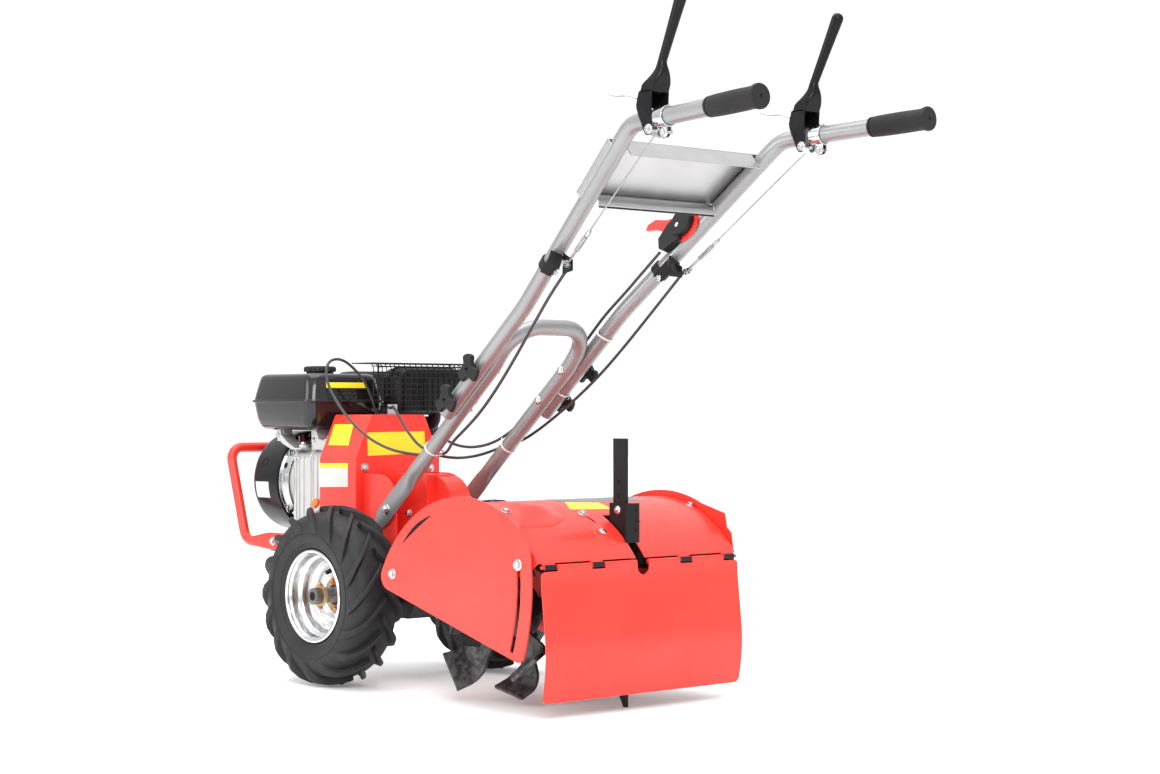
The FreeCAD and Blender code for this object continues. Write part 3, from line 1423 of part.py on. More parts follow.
# ---------------------------------------------------------------- tine rotor
def make_rotor():
    reach = "outer_tines + shaft_past"
    finish(rod("rotor_shaft", "X", f"-({reach})", "rotor_y", "rotor_z", "shaft_radius", f"2 * ({reach})"),
           "rotor_shaft")
    for side, sign in SIDES:
        split = "(inner_tines + outer_tines) / 2"
        make_tine_set(f"{side}_inner_tines", sign, "inner_tines", "drive_half + clear_gap",
                      f"{split} - seat_gap / 2", OUTER_TURN + 180 / TINES)
        make_tine_set(f"{side}_outer_tines", sign, "outer_tines", f"{split} + seat_gap / 2",
                      "outer_tines + shaft_past - clear_gap", OUTER_TURN)


def make_tine_set(label, sign, across, inner, outer, turn):
    """A sleeve, a flange and four tines whose feet curve outwards and lead at the axle side."""
    body = new_body(label + "_hub")
    lift = inner if sign > 0 else f"-({outer})"
    pad(body, rings(body, "YZ", label + "_sleeve", [("0", "0", "sleeve_radius")], lift),
        f"{outer} - ({inner})")
    face = f"{across} - tine_wall / 2" if sign > 0 else f"-({across}) - tine_wall / 2"
    pad(body, rings(body, "YZ", label + "_flange", [("0", "0", "flange_radius")], face), "tine_wall",
        name="Flange")

    near = f"({across} - tine_wall / 2)"
    cosine, sine = "cos(foot_turn)", "sin(foot_turn)"
    level = f"(tine_level - (foot_bend + tine_wall) * {sine} - tine_foot * {cosine})"
    centre = f"{near} + tine_wall + foot_bend"
    inside = (f"{centre} - foot_bend * {cosine}", f"-{level} - foot_bend * {sine}")
    beyond = (f"{centre} - (foot_bend + tine_wall) * {cosine}",
              f"-{level} - (foot_bend + tine_wall) * {sine}")
    run = (f"tine_foot * {sine}", f"-tine_foot * {cosine}")
    corners = [(near, "0"), (near, f"-{level}", "foot_bend + tine_wall"), beyond,
               (f"{beyond[0]} + {run[0]}", f"{beyond[1]} + {run[1]}"),
               (f"{inside[0]} + {run[0]}", f"{inside[1]} + {run[1]}"), (*inside, "-foot_bend"),
               (f"{near} + tine_wall", f"-{level}"), (f"{near} + tine_wall", "0")]
    if sign < 0:
        corners = mirrored(corners)
    bent = new_body(label + "_bent")
    pad(bent, outline(bent, "XZ", label + "_bent_outline", corners), "2 * rotor_radius", middle=True)

    tip = "sqrt(rotor_radius ^ 2 - tine_level ^ 2)"
    edge = [("15", "8"), ("-14", "-6"), ("23", "-86"), ("foot_lead", "-tine_level + 25"),
            ("foot_lead", "-tine_level - 9"), (tip, "-tine_level - 9"), (tip, "-tine_level"),
            ("62", "-tine_level + 40"), ("48", "-tine_level + 64")]
    blade = new_body(label + "_blade")
    lift = near if sign > 0 else f"-({near} + 3 * tine_foot)"
    pad(blade, outline(blade, "YZ", label + "_blade_outline", edge, lift), "3 * tine_foot")
    tines = []
    for number in range(TINES):
        tine = common(f"{label}_tine_{number}", bent, blade)
        tine.Placement = Placement(Vector(), Rotation(Vector(1, 0, 0), 360 / TINES * number))
        tines.append(tine)
    bore = rod(label + "_bore", "X", "-2 * outer_tines", "0", "0", "shaft_radius + running_gap",
               "4 * outer_tines")
    whole = cut(label + "_whole", fuse(label + "_fused", body, *tines), bore)
    whole.Placement = Placement(Vector(), Rotation(Vector(1, 0, 0), turn))
    bind(whole, y="rotor_y", z="rotor_z")
    finish(whole, label)


def mirrored(corners):
    """The same closed outline on the other side of X = 0, still drawn in a closed order."""
    flipped = []
    for across, up, *bulge in corners:
        flipped.append((f"-({across})", up, *(f"-({radius})" for radius in bulge)))
    return flipped


TINES = 4
OUTER_TURN = -56
make_rotor()


# ---------------------------------------------------------------- check and write
doc.recompute()
for item in doc.Objects:
    faults = {"Invalid", "Error"} & set(item.State)
    if faults:
        raise RuntimeError(f"{item.Label} failed: {item.State}")
os.makedirs("parts", exist_ok=True)
for item in finished:
    shape = item.Shape
    if shape.isNull() or not shape.isValid():
        raise RuntimeError(f"{item.Label} has no valid shape")
    shape.exportStep(f"parts/{item.Label}.step")
print(len(finished), "sub-parts written")
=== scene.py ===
"""The looks of a garden tiller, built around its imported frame. Lengths are in metres.

Places are written with Y measured from the wheels' axle, as in at(x, y, z).
"""

import math

import bmesh
import bpy
from mathutils import Matrix, Quaternion, Vector


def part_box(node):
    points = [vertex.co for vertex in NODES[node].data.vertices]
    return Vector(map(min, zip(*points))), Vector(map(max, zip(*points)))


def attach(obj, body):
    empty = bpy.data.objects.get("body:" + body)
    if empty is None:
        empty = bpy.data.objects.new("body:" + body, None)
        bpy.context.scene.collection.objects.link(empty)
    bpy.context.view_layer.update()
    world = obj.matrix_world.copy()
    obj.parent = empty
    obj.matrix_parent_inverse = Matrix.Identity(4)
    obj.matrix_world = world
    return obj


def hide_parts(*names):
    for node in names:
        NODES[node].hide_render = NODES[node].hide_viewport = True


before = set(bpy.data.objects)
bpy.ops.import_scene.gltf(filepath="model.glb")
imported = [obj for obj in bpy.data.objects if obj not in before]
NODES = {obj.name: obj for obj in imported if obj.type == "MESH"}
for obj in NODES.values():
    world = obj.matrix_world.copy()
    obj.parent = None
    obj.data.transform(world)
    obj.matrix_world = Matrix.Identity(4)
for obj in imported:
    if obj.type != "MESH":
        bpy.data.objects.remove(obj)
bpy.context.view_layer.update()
X, Y, Z = Vector((1, 0, 0)), Vector((0, 1, 0)), Vector((0, 0, 1))
AXLE_Y = -0.3165
AXLE_Z = 0.17
SIDES = (("left", 1), ("right", -1))


def at(x, y, z):
    """A place in the row frame, from a Y measured from the wheels' axle."""
    return Vector((x, y + AXLE_Y, z))


def lerp(a, b, share):
    return a + (b - a) * share


# the line round which the hood is rolled, and its outer radius
HOOD_AXIS = at(0, 0.445, 0.116)
HOOD_R = 0.243


# ---------------------------------------------------------------- camera
def make_camera():
    yaw = math.radians(42.191)
    pitch = math.radians(0.488)
    data = bpy.data.cameras.new("camera")
    data.sensor_width = 36
    data.lens = 70.07
    data.clip_end = 60
    camera = bpy.data.objects.new("camera", data)
    bpy.context.scene.collection.objects.link(camera)
    ahead = Vector((-math.sin(yaw) * math.cos(pitch), -math.cos(yaw) * math.cos(pitch), math.sin(pitch)))
    turned = ahead.to_track_quat("-Z", "Y").to_matrix().to_4x4()
    camera.matrix_world = Matrix.Translation(at(2.7161, 3.4781, 0.5266)) @ turned
    bpy.context.scene.camera = camera


make_camera()


# ---------------------------------------------------------------- materials
def node(tree, kind, **inputs):
    """A shader node; keywords set its attributes, or its sockets where it has no such attribute."""
    item = tree.nodes.new("ShaderNode" + kind)
    for name, value in inputs.items():
        if hasattr(item, name):
            setattr(item, name, value)
        else:
            item.inputs[name.replace("_", " ")].default_value = value
    return item


def noise(tree, place, scale, detail=3.0):
    item = node(tree, "TexNoise", Scale=scale, Detail=detail, Roughness=0.55)
    tree.links.new(place, item.inputs["Vector"])
    return item.outputs["Fac"]


def spread(tree, source, low, high, start=0.3, stop=0.7):
    """source, stretched from start..stop to low..high."""
    item = node(tree, "MapRange")
    for name, value in (("From Min", start), ("From Max", stop), ("To Min", low), ("To Max", high)):
        item.inputs[name].default_value = value
    tree.links.new(source, item.inputs["Value"])
    return item.outputs["Result"]


def blend_colour(tree, share, first, second):
    item = node(tree, "Mix", data_type="RGBA")
    tree.links.new(share, item.inputs["Factor"])
    for socket, colour in ((item.inputs["A"], first), (item.inputs["B"], second)):
        if isinstance(colour, bpy.types.NodeSocket):
            tree.links.new(colour, socket)
        else:
            socket.default_value = (*colour, 1)
    return item.outputs["Result"]


def surface(name, colour, second, rough, metallic=0.0, mottle=9.0, grain=400.0, bump=0.05, depth=0.0004,
        coat=0.0, coat_rough=0.1, wear=None, specular=0.5):
    """A procedural finish.

    colour and second are mixed by broad mottling, rough is (lowest, highest) roughness, grain and bump make
    the fine relief, and wear is the bare colour of its edges.
    """
    material = bpy.data.materials.new(name)
    material.use_nodes = True
    tree = material.node_tree
    shader = tree.nodes["Principled BSDF"]
    place = node(tree, "TexCoord").outputs["Object"]
    shade = blend_colour(tree, spread(tree, noise(tree, place, mottle), 0, 1), colour, second)
    if wear:
        edges = node(tree, "NewGeometry").outputs["Pointiness"]
        worn = spread(tree, edges, 0, 0.8, 0.54, 0.62)
        broken = node(tree, "Math", operation="MULTIPLY")
        tree.links.new(worn, broken.inputs[0])
        tree.links.new(spread(tree, noise(tree, place, 90), 0, 1, 0.4, 0.6), broken.inputs[1])
        shade = blend_colour(tree, broken.outputs[0], shade, wear)
    tree.links.new(shade, shader.inputs["Base Color"])
    roughness = spread(tree, noise(tree, place, mottle * 4, 5.0), *rough)
    tree.links.new(roughness, shader.inputs["Roughness"])
    relief = node(tree, "Bump", Strength=bump, Distance=depth)
    tree.links.new(noise(tree, place, grain, 2.0), relief.inputs["Height"])
    tree.links.new(relief.outputs["Normal"], shader.inputs["Normal"])
    values = (("Metallic", metallic), ("Coat Weight", coat), ("Coat Roughness", coat_rough),
        ("Specular IOR Level", specular))
    for socket, value in values:
        shader.inputs[socket].default_value = value
    return material


RED = surface("red_paint", (0.84, 0.04, 0.026), (0.78, 0.032, 0.02), (0.34, 0.44), grain=260,
    coat=0.3, coat_rough=0.12, specular=0.3)
BLACK = surface("black_paint", (0.008, 0.008, 0.009), (0.014, 0.014, 0.015), (0.32, 0.46),
    grain=500, bump=0.08, specular=0.18)
BLACK_GLOSS = surface("black_gloss", (0.006, 0.006, 0.007), (0.01, 0.01, 0.011), (0.18, 0.3),
    grain=300, bump=0.06, specular=0.14)
# painted shade: a near-black finish for thin plates and discs laid over holes, slits and gaps, standing for
# the shade inside them
GAP_SHADE = surface("painted_gap_shade", (0.004, 0.004, 0.004), (0.006, 0.006, 0.006), (0.7, 0.85),
    grain=600, bump=0.1, specular=0.2)
STEEL_PAINT = surface("tine_paint", (0.014, 0.014, 0.015), (0.02, 0.02, 0.022), (0.42, 0.58), grain=700,
    bump=0.12, wear=(0.1, 0.1, 0.1))
TANK = surface("tank_black", (0.008, 0.008, 0.009), (0.012, 0.012, 0.013), (0.09, 0.16),
    grain=60, bump=0.03, coat=0.35, coat_rough=0.04, specular=0.3)
TUBE = surface("galvanised_tube", (0.25, 0.252, 0.256), (0.29, 0.292, 0.296), (0.3, 0.38),
    metallic=0.5, mottle=8, grain=60, bump=0.03)
SHEET = surface("galvanised_sheet", (0.43, 0.43, 0.435), (0.48, 0.48, 0.485), (0.3, 0.38),
    metallic=0.85, mottle=20, grain=700, bump=0.03)
ZINC = surface("zinc_plate", (0.52, 0.53, 0.54), (0.58, 0.585, 0.59), (0.15, 0.26), metallic=1,
    mottle=26, grain=600)
WIRE = surface("bright_wire", (0.3, 0.3, 0.31), (0.36, 0.36, 0.37), (0.24, 0.34), metallic=1,
    mottle=26, grain=600)
RIM = surface("rim_zinc", (0.62, 0.625, 0.63), (0.68, 0.685, 0.69), (0.15, 0.26), metallic=1,
    mottle=26, grain=600)
BRASS_ZINC = surface("yellow_zinc", (0.4, 0.27, 0.14), (0.5, 0.36, 0.2), (0.26, 0.38),
    metallic=1, mottle=60, grain=900, bump=0.06)
COPPER = surface("copper_bolt", (0.5, 0.22, 0.09), (0.58, 0.28, 0.12), (0.28, 0.4), metallic=1,
    mottle=60, grain=900, bump=0.06)
DARK_STEEL = surface("dark_steel", (0.13, 0.12, 0.11), (0.2, 0.19, 0.18), (0.3, 0.45),
    metallic=0.9, mottle=60, grain=900, bump=0.15)
CAST = surface("cast_alloy", (0.46, 0.46, 0.455), (0.54, 0.54, 0.535), (0.42, 0.56),
    metallic=0.45, mottle=30, grain=900, bump=0.22, depth=0.0006)
PLASTIC = surface("black_plastic", (0.01, 0.01, 0.011), (0.016, 0.016, 0.017), (0.38, 0.5),
    grain=1500, bump=0.12, specular=0.2)
GRIP = surface("grip_rubber", (0.013, 0.013, 0.014), (0.02, 0.02, 0.021), (0.5, 0.64),
    grain=1400, bump=0.16, specular=0.18)
RUBBER = surface("tyre_rubber", (0.009, 0.009, 0.01), (0.017, 0.017, 0.018), (0.46, 0.62),
    mottle=16, grain=1100, bump=0.12, specular=0.32)
SHEATH = surface("cable_sheath", (0.016, 0.016, 0.018), (0.022, 0.022, 0.024), (0.28, 0.4), grain=900,
    bump=0.08)
RED_PLASTIC = surface("red_plastic", (0.8, 0.03, 0.024), (0.72, 0.024, 0.02), (0.28, 0.38), grain=800,
    bump=0.1)
ORANGE_PLASTIC = surface("orange_plastic", (0.8, 0.2, 0.03), (0.7, 0.16, 0.02), (0.35, 0.45),
    grain=800, bump=0.1)
YELLOW = surface("yellow_plate", (0.86, 0.72, 0.02), (0.82, 0.68, 0.015), (0.3, 0.38), grain=300,
    bump=0.04)
WHITE = surface("white_plate", (0.54, 0.54, 0.53), (0.5, 0.5, 0.49), (0.34, 0.44), grain=300,
    bump=0.04)
GREY_PLATE = surface("grey_plate", (0.16, 0.16, 0.165), (0.2, 0.2, 0.205), (0.3, 0.4), grain=300,
    bump=0.04)
NYLON = surface("white_nylon", (0.78, 0.78, 0.76), (0.7, 0.7, 0.68), (0.4, 0.5), grain=700,
    bump=0.08)


# where the black begins and ends to fade: the heights on the gear case, and the radii and half widths inside
# the hood, where the black is painted shade
PAINT_LINE = (0.234, 0.236)
SHADE_RADII = (0.2412, 0.2416)
SHADE_HALVES = (0.2344, 0.235)


def half_black(name, black_share):
    """Red paint, black where black_share(tree, position) is 1."""
    material = RED.copy()
    material.name = name
    tree = material.node_tree
    shader = tree.nodes["Principled BSDF"]
    red = shader.inputs["Base Color"].links[0].from_socket
    share = black_share(tree, node(tree, "NewGeometry").outputs["Position"])
    tree.links.new(blend_colour(tree, share, red, (0.01, 0.01, 0.011)), shader.inputs["Base Color"])
    return material


def below_paint_line(tree, position):
    """1 on the gear case's lower part."""
    parts = node(tree, "SeparateXYZ")
    tree.links.new(position, parts.inputs["Vector"])
    return spread(tree, parts.outputs["Z"], 1, 0, *PAINT_LINE)


def shade_inside_hood(tree, position):
    """1 on the hood's inner faces, which are painted black as shade."""
    reach = node(tree, "VectorMath", operation="SUBTRACT")
    tree.links.new(position, reach.inputs[0])
    reach.inputs[1].default_value = HOOD_AXIS
    flat = node(tree, "VectorMath", operation="MULTIPLY")
    tree.links.new(reach.outputs["Vector"], flat.inputs[0])
    flat.inputs[1].default_value = (0, 1, 1)
    length = node(tree, "VectorMath", operation="LENGTH")
    tree.links.new(flat.outputs["Vector"], length.inputs[0])
    parts = node(tree, "SeparateXYZ")
    tree.links.new(position, parts.inputs["Vector"])
    across = node(tree, "Math", operation="ABSOLUTE")
    tree.links.new(parts.outputs["X"], across.inputs[0])
    both = node(tree, "Math", operation="MULTIPLY")
    tree.links.new(spread(tree, length.outputs["Value"], 1, 0, *SHADE_RADII), both.inputs[0])
    tree.links.new(spread(tree, across.outputs[0], 1, 0, *SHADE_HALVES), both.inputs[1])
    return both.outputs[0]


GEAR_PAINT = half_black("gear_case_paint", below_paint_line)
# painted shade: the hood's red turns near-black on its inner faces
HOOD_PAINT_AND_SHADE = half_black("hood_paint_and_shade", shade_inside_hood)


def coat_node(name, material):
    slots = NODES[name].material_slots
    for item in slots:
        item.material = material
    if not slots:
        NODES[name].data.materials.append(material)


# ---------------------------------------------------------------- mesh building
def square_to(direction):
    """Two unit directions across a third."""
    direction = direction.normalized()
    hint = X if abs(direction.z) > 0.95 else Z
    first = hint.cross(direction).normalized()
    return first, direction.cross(first)


def around(first, second, turn, radius=1.0):
    """The way from a circle's centre to its rim, in the plane of two unit directions."""
    return (first * math.cos(turn) + second * math.sin(turn)) * radius


def turns(steps):
    """The angles that divide a full turn evenly."""
    return [math.tau * step / steps for step in range(steps)]


def powered(number, power):
    return math.copysign(abs(number) ** power, number)


# the least radius of a turned profile, the distance at which corners are joined, and the least angle
# between faces that is bevelled
POINT = 0.00002
MERGE = 0.000005
BEVEL_OVER = math.radians(32)


class Shape:
    """A mesh put together from simple solids, in the row frame."""

    def __init__(self):
        self.mesh = bmesh.new()

    def rings(self, loops, closed=False, capped=True, around=True):
        """A skin over loops of places, each with as many; closed joins the last loop to the first."""
        new = self.mesh.verts.new
        rows = [[new(place) for place in loop] for loop in loops]
        count = len(rows[0])
        pairs = list(zip(rows, rows[1:])) + ([(rows[-1], rows[0])] if closed else [])
        for low, high in pairs:
            for index in range(count if around else count - 1):
                after = (index + 1) % count
                self.mesh.faces.new((low[index], low[after], high[after], high[index]))
        if capped and not closed and around:
            self.mesh.faces.new(rows[0][::-1])
            self.mesh.faces.new(rows[-1])

    def lathe(self, profile, origin, axis, steps, closed=False, capped=False):
        """A profile of (along, radius) turned about an axis through origin."""
        axis = axis.normalized()
        first, second = square_to(axis)
        loops = []
        for along, radius in profile:
            radius = max(radius, POINT)
            loops.append([origin + axis * along + around(first, second, turn, radius)
                for turn in turns(steps)])
        self.rings(loops, closed=closed, capped=capped)

    def rod(self, start, end, radius, steps, tip=0.0):
        """A round bar; tip rounds off both its ends' edges."""
        length = (end - start).length
        profile = [(0, radius), (length, radius)]
        if tip:
            profile = [(0, radius - tip), (tip, radius), (length - tip, radius), (length, radius - tip)]
        self.lathe(profile, start, end - start, steps, capped=True)

    def prism(self, outline, origin, across, up, thickness):
        """An outline of (across, up) made thick, from origin along across x up."""
        across, up = across.normalized(), up.normalized()
        out = across.cross(up)
        low = [origin + across * u + up * v for u, v in outline]
        high = [place + out * thickness for place in low]
        self.rings([low, high])

    def block(self, low, high):
        corners = [(low.x, low.y), (high.x, low.y), (high.x, high.y), (low.x, high.y)]
        self.prism(corners, Vector((0, 0, low.z)), X, Y, high.z - low.z)

    def pipe(self, points, radius, steps, squash=None):
        """A bar swept through points; squash gives (across, up) scales at each point, and a power below 1
        where its section is squarer than an ellipse."""
        loops = []
        points = [Vector(point) for point in points]
        ahead = (points[1] - points[0]).normalized()
        first, second = square_to(ahead)
        for index, point in enumerate(points):
            before = points[max(index - 1, 0)]
            after = points[min(index + 1, len(points) - 1)]
            heading = (after - before).normalized()
            turn = ahead.rotation_difference(heading)
            first, second, ahead = turn @ first, turn @ second, heading
            wide, high, *power = squash[index] if squash else (1, 1)
            power = power[0] if power else 1.0
            loop = []
            for angle in turns(steps):
                flat = first * powered(math.cos(angle), power) * wide
                upright = second * powered(math.sin(angle), power) * high
                loop.append(point + (flat + upright) * radius)
            loops.append(loop)
        self.rings(loops)

    def bolt(self, place, out, size):
        """A hexagon bolt's head with a flange, standing on a surface at place."""
        out = out.normalized()
        head = size * 0.75
        self.lathe([(0, size * 1.45), (size * 0.18, size * 1.45), (size * 0.26, size * 1.3),
            (size * 0.26, size * 0.8)], place, out, 20, capped=True)
        lift = place + out * size * 0.2
        first, second = square_to(out)
        corners = [math.tau * (side + 0.3) / 6 for side in range(6)]
        self.rings([[lift + out * rise + around(first, second, turn, radius) for turn in corners]
            for radius, rise in ((size, 0), (size, head * 0.85), (size * 0.86, head))])
        self.lathe([(head * 0.9, size * 0.6), (head * 1.12, size * 0.5)], lift, out, 12, capped=True)

    def dome(self, place, out, size):
        """A carriage bolt's round head."""
        profile = [(-0.0004, size)]
        for step in range(7):
            turn = math.pi / 2 * step / 6
            profile.append((size * 0.55 * math.sin(turn), size * math.cos(turn) + 0.00001))
        self.lathe(profile, place, out, 20, capped=True)

    def torus(self, centre, axis, major, minor, steps, sides):
        profile = [(minor * math.sin(turn), major + minor * math.cos(turn)) for turn in turns(sides)]
        self.lathe(profile, centre, axis, steps, closed=True)

    def piece(self, name, material, body="chassis", slot=None, replaces=None, bevel=0.0, angle=35, segments=2,
            thick=0.0):
        """The finished object, riding on its body, in the place of the frame's piece named by replaces.

        angle is where its shading breaks, and thick turns an open skin into a sheet, inwards.
        """
        bmesh.ops.remove_doubles(self.mesh, verts=self.mesh.verts, dist=MERGE)
        bmesh.ops.recalc_face_normals(self.mesh, faces=self.mesh.faces)
        data = bpy.data.meshes.new(name)
        self.mesh.to_mesh(data)
        self.mesh.free()
        data.shade_smooth()
        data.set_sharp_from_angle(angle=math.radians(angle))
        data.materials.append(material)
        item = bpy.data.objects.new(name, data)
        bpy.context.scene.collection.objects.link(item)
        if thick:
            plate = item.modifiers.new("thick", "SOLIDIFY")
            plate.thickness = thick
            plate.offset = -1
        if bevel:
            edges = item.modifiers.new("edges", "BEVEL")
            edges.width = bevel
            edges.segments = segments
            edges.limit_method = "ANGLE"
            edges.angle_limit = BEVEL_OVER
            weighted = item.modifiers.new("shading", "WEIGHTED_NORMAL")
            weighted.keep_sharp = True
        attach(item, body)
        if replaces:
            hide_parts(replaces)


def arc(centre, radius, start, stop, steps):
    """Points (across, up) of an arc, with its angles in degrees."""
    points = []
    for step in range(steps + 1):
        turn = math.radians(lerp(start, stop, step / steps))
        points.append((centre[0] + radius * math.cos(turn), centre[1] + radius * math.sin(turn)))
    return points


def rounded(low, high, radius, steps=5):
    """A rectangle's outline with round corners."""
    (left, bottom), (right, top) = (low[0] + radius, low[1] + radius), (high[0] - radius, high[1] - radius)
    outline = []
    for quarter, corner in enumerate(((right, bottom), (right, top), (left, top), (left, bottom))):
        outline += arc(corner, radius, 90 * quarter - 90, 90 * quarter, steps)
    return outline


def turned(name, material, profile, centre, axis, body="chassis", steps=40, closed=False, **more):
    """A piece that is one turned profile; more is what Shape.piece takes."""
    shape = Shape()
    shape.lathe(profile, centre, axis, steps, closed=closed)
    shape.piece(name, material, body, **more)


def make_bolts(name, rows):
    """A piece of hexagon bolts, given as (x, y, z, way out, size)."""
    bolts = Shape()
    for x, y, z, out, size in rows:
        bolts.bolt(at(x, y, z), out, size)
    bolts.piece(name, ZINC, bevel=0.0003)


def bent(points, radii, steps):
    """Points along straight runs with each inner corner rounded by its radius."""
    path = [points[0]]
    for before, corner, after, radius in zip(points, points[1:], points[2:], radii):
        back = (before - corner).normalized()
        ahead = (after - corner).normalized()
        half = back.angle(ahead) / 2
        reach = radius / math.tan(half)
        centre = corner + (back + ahead).normalized() * (radius / math.sin(half))
        first = corner + back * reach - centre
        last = corner + ahead * reach - centre
        turn = first.rotation_difference(last)
        for step in range(steps + 1):
            path.append(centre + Quaternion(turn.axis, turn.angle * step / steps) @ first)
    path.append(points[-1])
    return path


# ---------------------------------------------------------------- cables
CABLE = 0.0055
ROUTES = {  # (across, along, height) of places on each sheath, from its end at the lever
    "clutch_cable_left": [
        (0.137, 0.6066, 0.7664), (0.136, 0.564, 0.729), (0.133, 0.512, 0.674), (0.131, 0.46, 0.616),
        (0.129, 0.407, 0.561), (0.126, 0.354, 0.515), (0.12, 0.301, 0.483), (0.108, 0.252, 0.461),
        (0.087, 0.214, 0.444), (0.069, 0.176, 0.436), (0.066, 0.134, 0.434), (0.08, 0.092, 0.436),
        (0.095, 0.046, 0.444), (0.107, -0.002, 0.464), (0.113, -0.05, 0.494), (0.117, -0.095, 0.535),
        (0.118, -0.13, 0.58), (0.101, -0.147, 0.616), (0.064, -0.151, 0.622), (0.029, -0.147, 0.597),
        (0.002, -0.141, 0.56), (-0.012, -0.138, 0.5112)],
    "clutch_cable_right": [
        (-0.137, 0.6066, 0.7664), (-0.136, 0.56, 0.726), (-0.134, 0.508, 0.68), (-0.132, 0.454, 0.633),
        (-0.129, 0.397, 0.586), (-0.125, 0.34, 0.545), (-0.12, 0.284, 0.509), (-0.115, 0.231, 0.478),
        (-0.114, 0.184, 0.458), (-0.107, 0.14, 0.448), (-0.075, 0.121, 0.434), (-0.033, 0.13, 0.429),
        (0.012, 0.144, 0.428), (0.05, 0.137, 0.433), (0.066, 0.101, 0.45), (0.06, 0.058, 0.477),
        (0.046, 0.016, 0.503), (0.029, -0.022, 0.521), (0.01, -0.058, 0.528), (-0.024, -0.0978, 0.523)],
    "throttle_cable": [
        (-0.1119, 0.5718, 0.8026), (-0.107, 0.533, 0.769), (-0.103, 0.487, 0.73), (-0.102, 0.437, 0.694),
        (-0.1057, 0.385, 0.65), (-0.1057, 0.33, 0.602), (-0.1057, 0.275, 0.555), (-0.104, 0.225, 0.514),
        (-0.098, 0.18, 0.479), (-0.086, 0.137, 0.455), (-0.07, 0.096, 0.446), (-0.064, 0.052, 0.45),
        (-0.072, 0.008, 0.461), (-0.086, -0.036, 0.472), (-0.095, -0.084, 0.482), (-0.097, -0.136, 0.49),
        (-0.096, -0.19, 0.493), (-0.096, -0.242, 0.486), (-0.101, -0.282, 0.464), (-0.1278, -0.299, 0.447)],
}


def make_cable(name, route):
    curve = bpy.data.curves.new(name + "_sheath", "CURVE")
    curve.dimensions = "3D"
    curve.bevel_depth = CABLE / 2
    curve.bevel_resolution = 5
    curve.use_fill_caps = True
    spline = curve.splines.new("NURBS")
    spline.points.add(len(route) - 1)
    for point, place in zip(spline.points, route):
        point.co = (*at(*place), 1)
    spline.order_u = 3
    spline.use_endpoint_u = True
    spline.resolution_u = 10
    curve.materials.append(SHEATH)
    item = bpy.data.objects.new(name + "_sheath", curve)
    bpy.context.scene.collection.objects.link(item)
    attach(item, "chassis")
    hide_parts(name)


for cable, path in ROUTES.items():
    make_cable(cable, path)


# ---------------------------------------------------------------- the frame's own pieces
FINISHES = (  # each material, and the frame's pieces in view that wear it
    (GEAR_PAINT, "gear_case"),
    (RED, "drive_case belt_cover handle_plate_left handle_plate_right left_side_shield right_side_shield"),
    (HOOD_PAINT_AND_SHADE, "hood"),
    (ZINC, "cable_stop"),
    (BLACK, "engine_base depth_stake stake_bracket cable_bracket_left cable_bracket_right"),
    (TUBE, "upper_handlebar_left upper_handlebar_right"),
    (DARK_STEEL, "axle"),
    (PLASTIC, "throttle_body"),
    (RED_PLASTIC, "throttle_lever"),
    (STEEL_PAINT, "rotor_shaft left_inner_tines left_outer_tines right_inner_tines right_outer_tines"),
)
for material, names in FINISHES:
    for name in names.split():
        coat_node(name, material)


# ---------------------------------------------------------------- wheels
WHEEL_X = 0.197
# half of the carcass's section, from its middle to its bead, as (across, radius)
TREAD = [(-0.002, 0.158), (0.012, 0.1577), (0.024, 0.1565), (0.034, 0.1535), (0.0425, 0.1485),
    (0.0485, 0.141), (0.0522, 0.1315), (0.0538, 0.121), (0.0532, 0.111), (0.0508, 0.102), (0.0474, 0.095),
    (0.044, 0.0905), (0.0415, 0.0885)]
# the lugs in each row, their height and half width from the middle out, and the curve that they follow
LUGS = 16
LUG_RISE = (0.0116, 0.0119, 0.0122, 0.0125, 0.0115, 0.0075, 0.004, 0.001)
LUG_HALF = (0.0058, 0.0062, 0.0068, 0.0076, 0.0086, 0.0094, 0.0098, 0.0098)
LUG_SWEEP = math.radians(31)
LUG_CURL = 1.35


def tread_frame(share):
    """The carcass's (across, radius) and outward (across, radius) at a place along half its section."""
    spot = share * 7
    index = min(int(spot), 6)
    part = spot - index
    here = Vector(TREAD[index]).lerp(Vector(TREAD[index + 1]), part)
    before = Vector(TREAD[max(index - 1, 0)])
    after = Vector(TREAD[min(index + 2, len(TREAD) - 1)])
    run = (after - before).normalized()
    return here, Vector((-run.y, run.x))


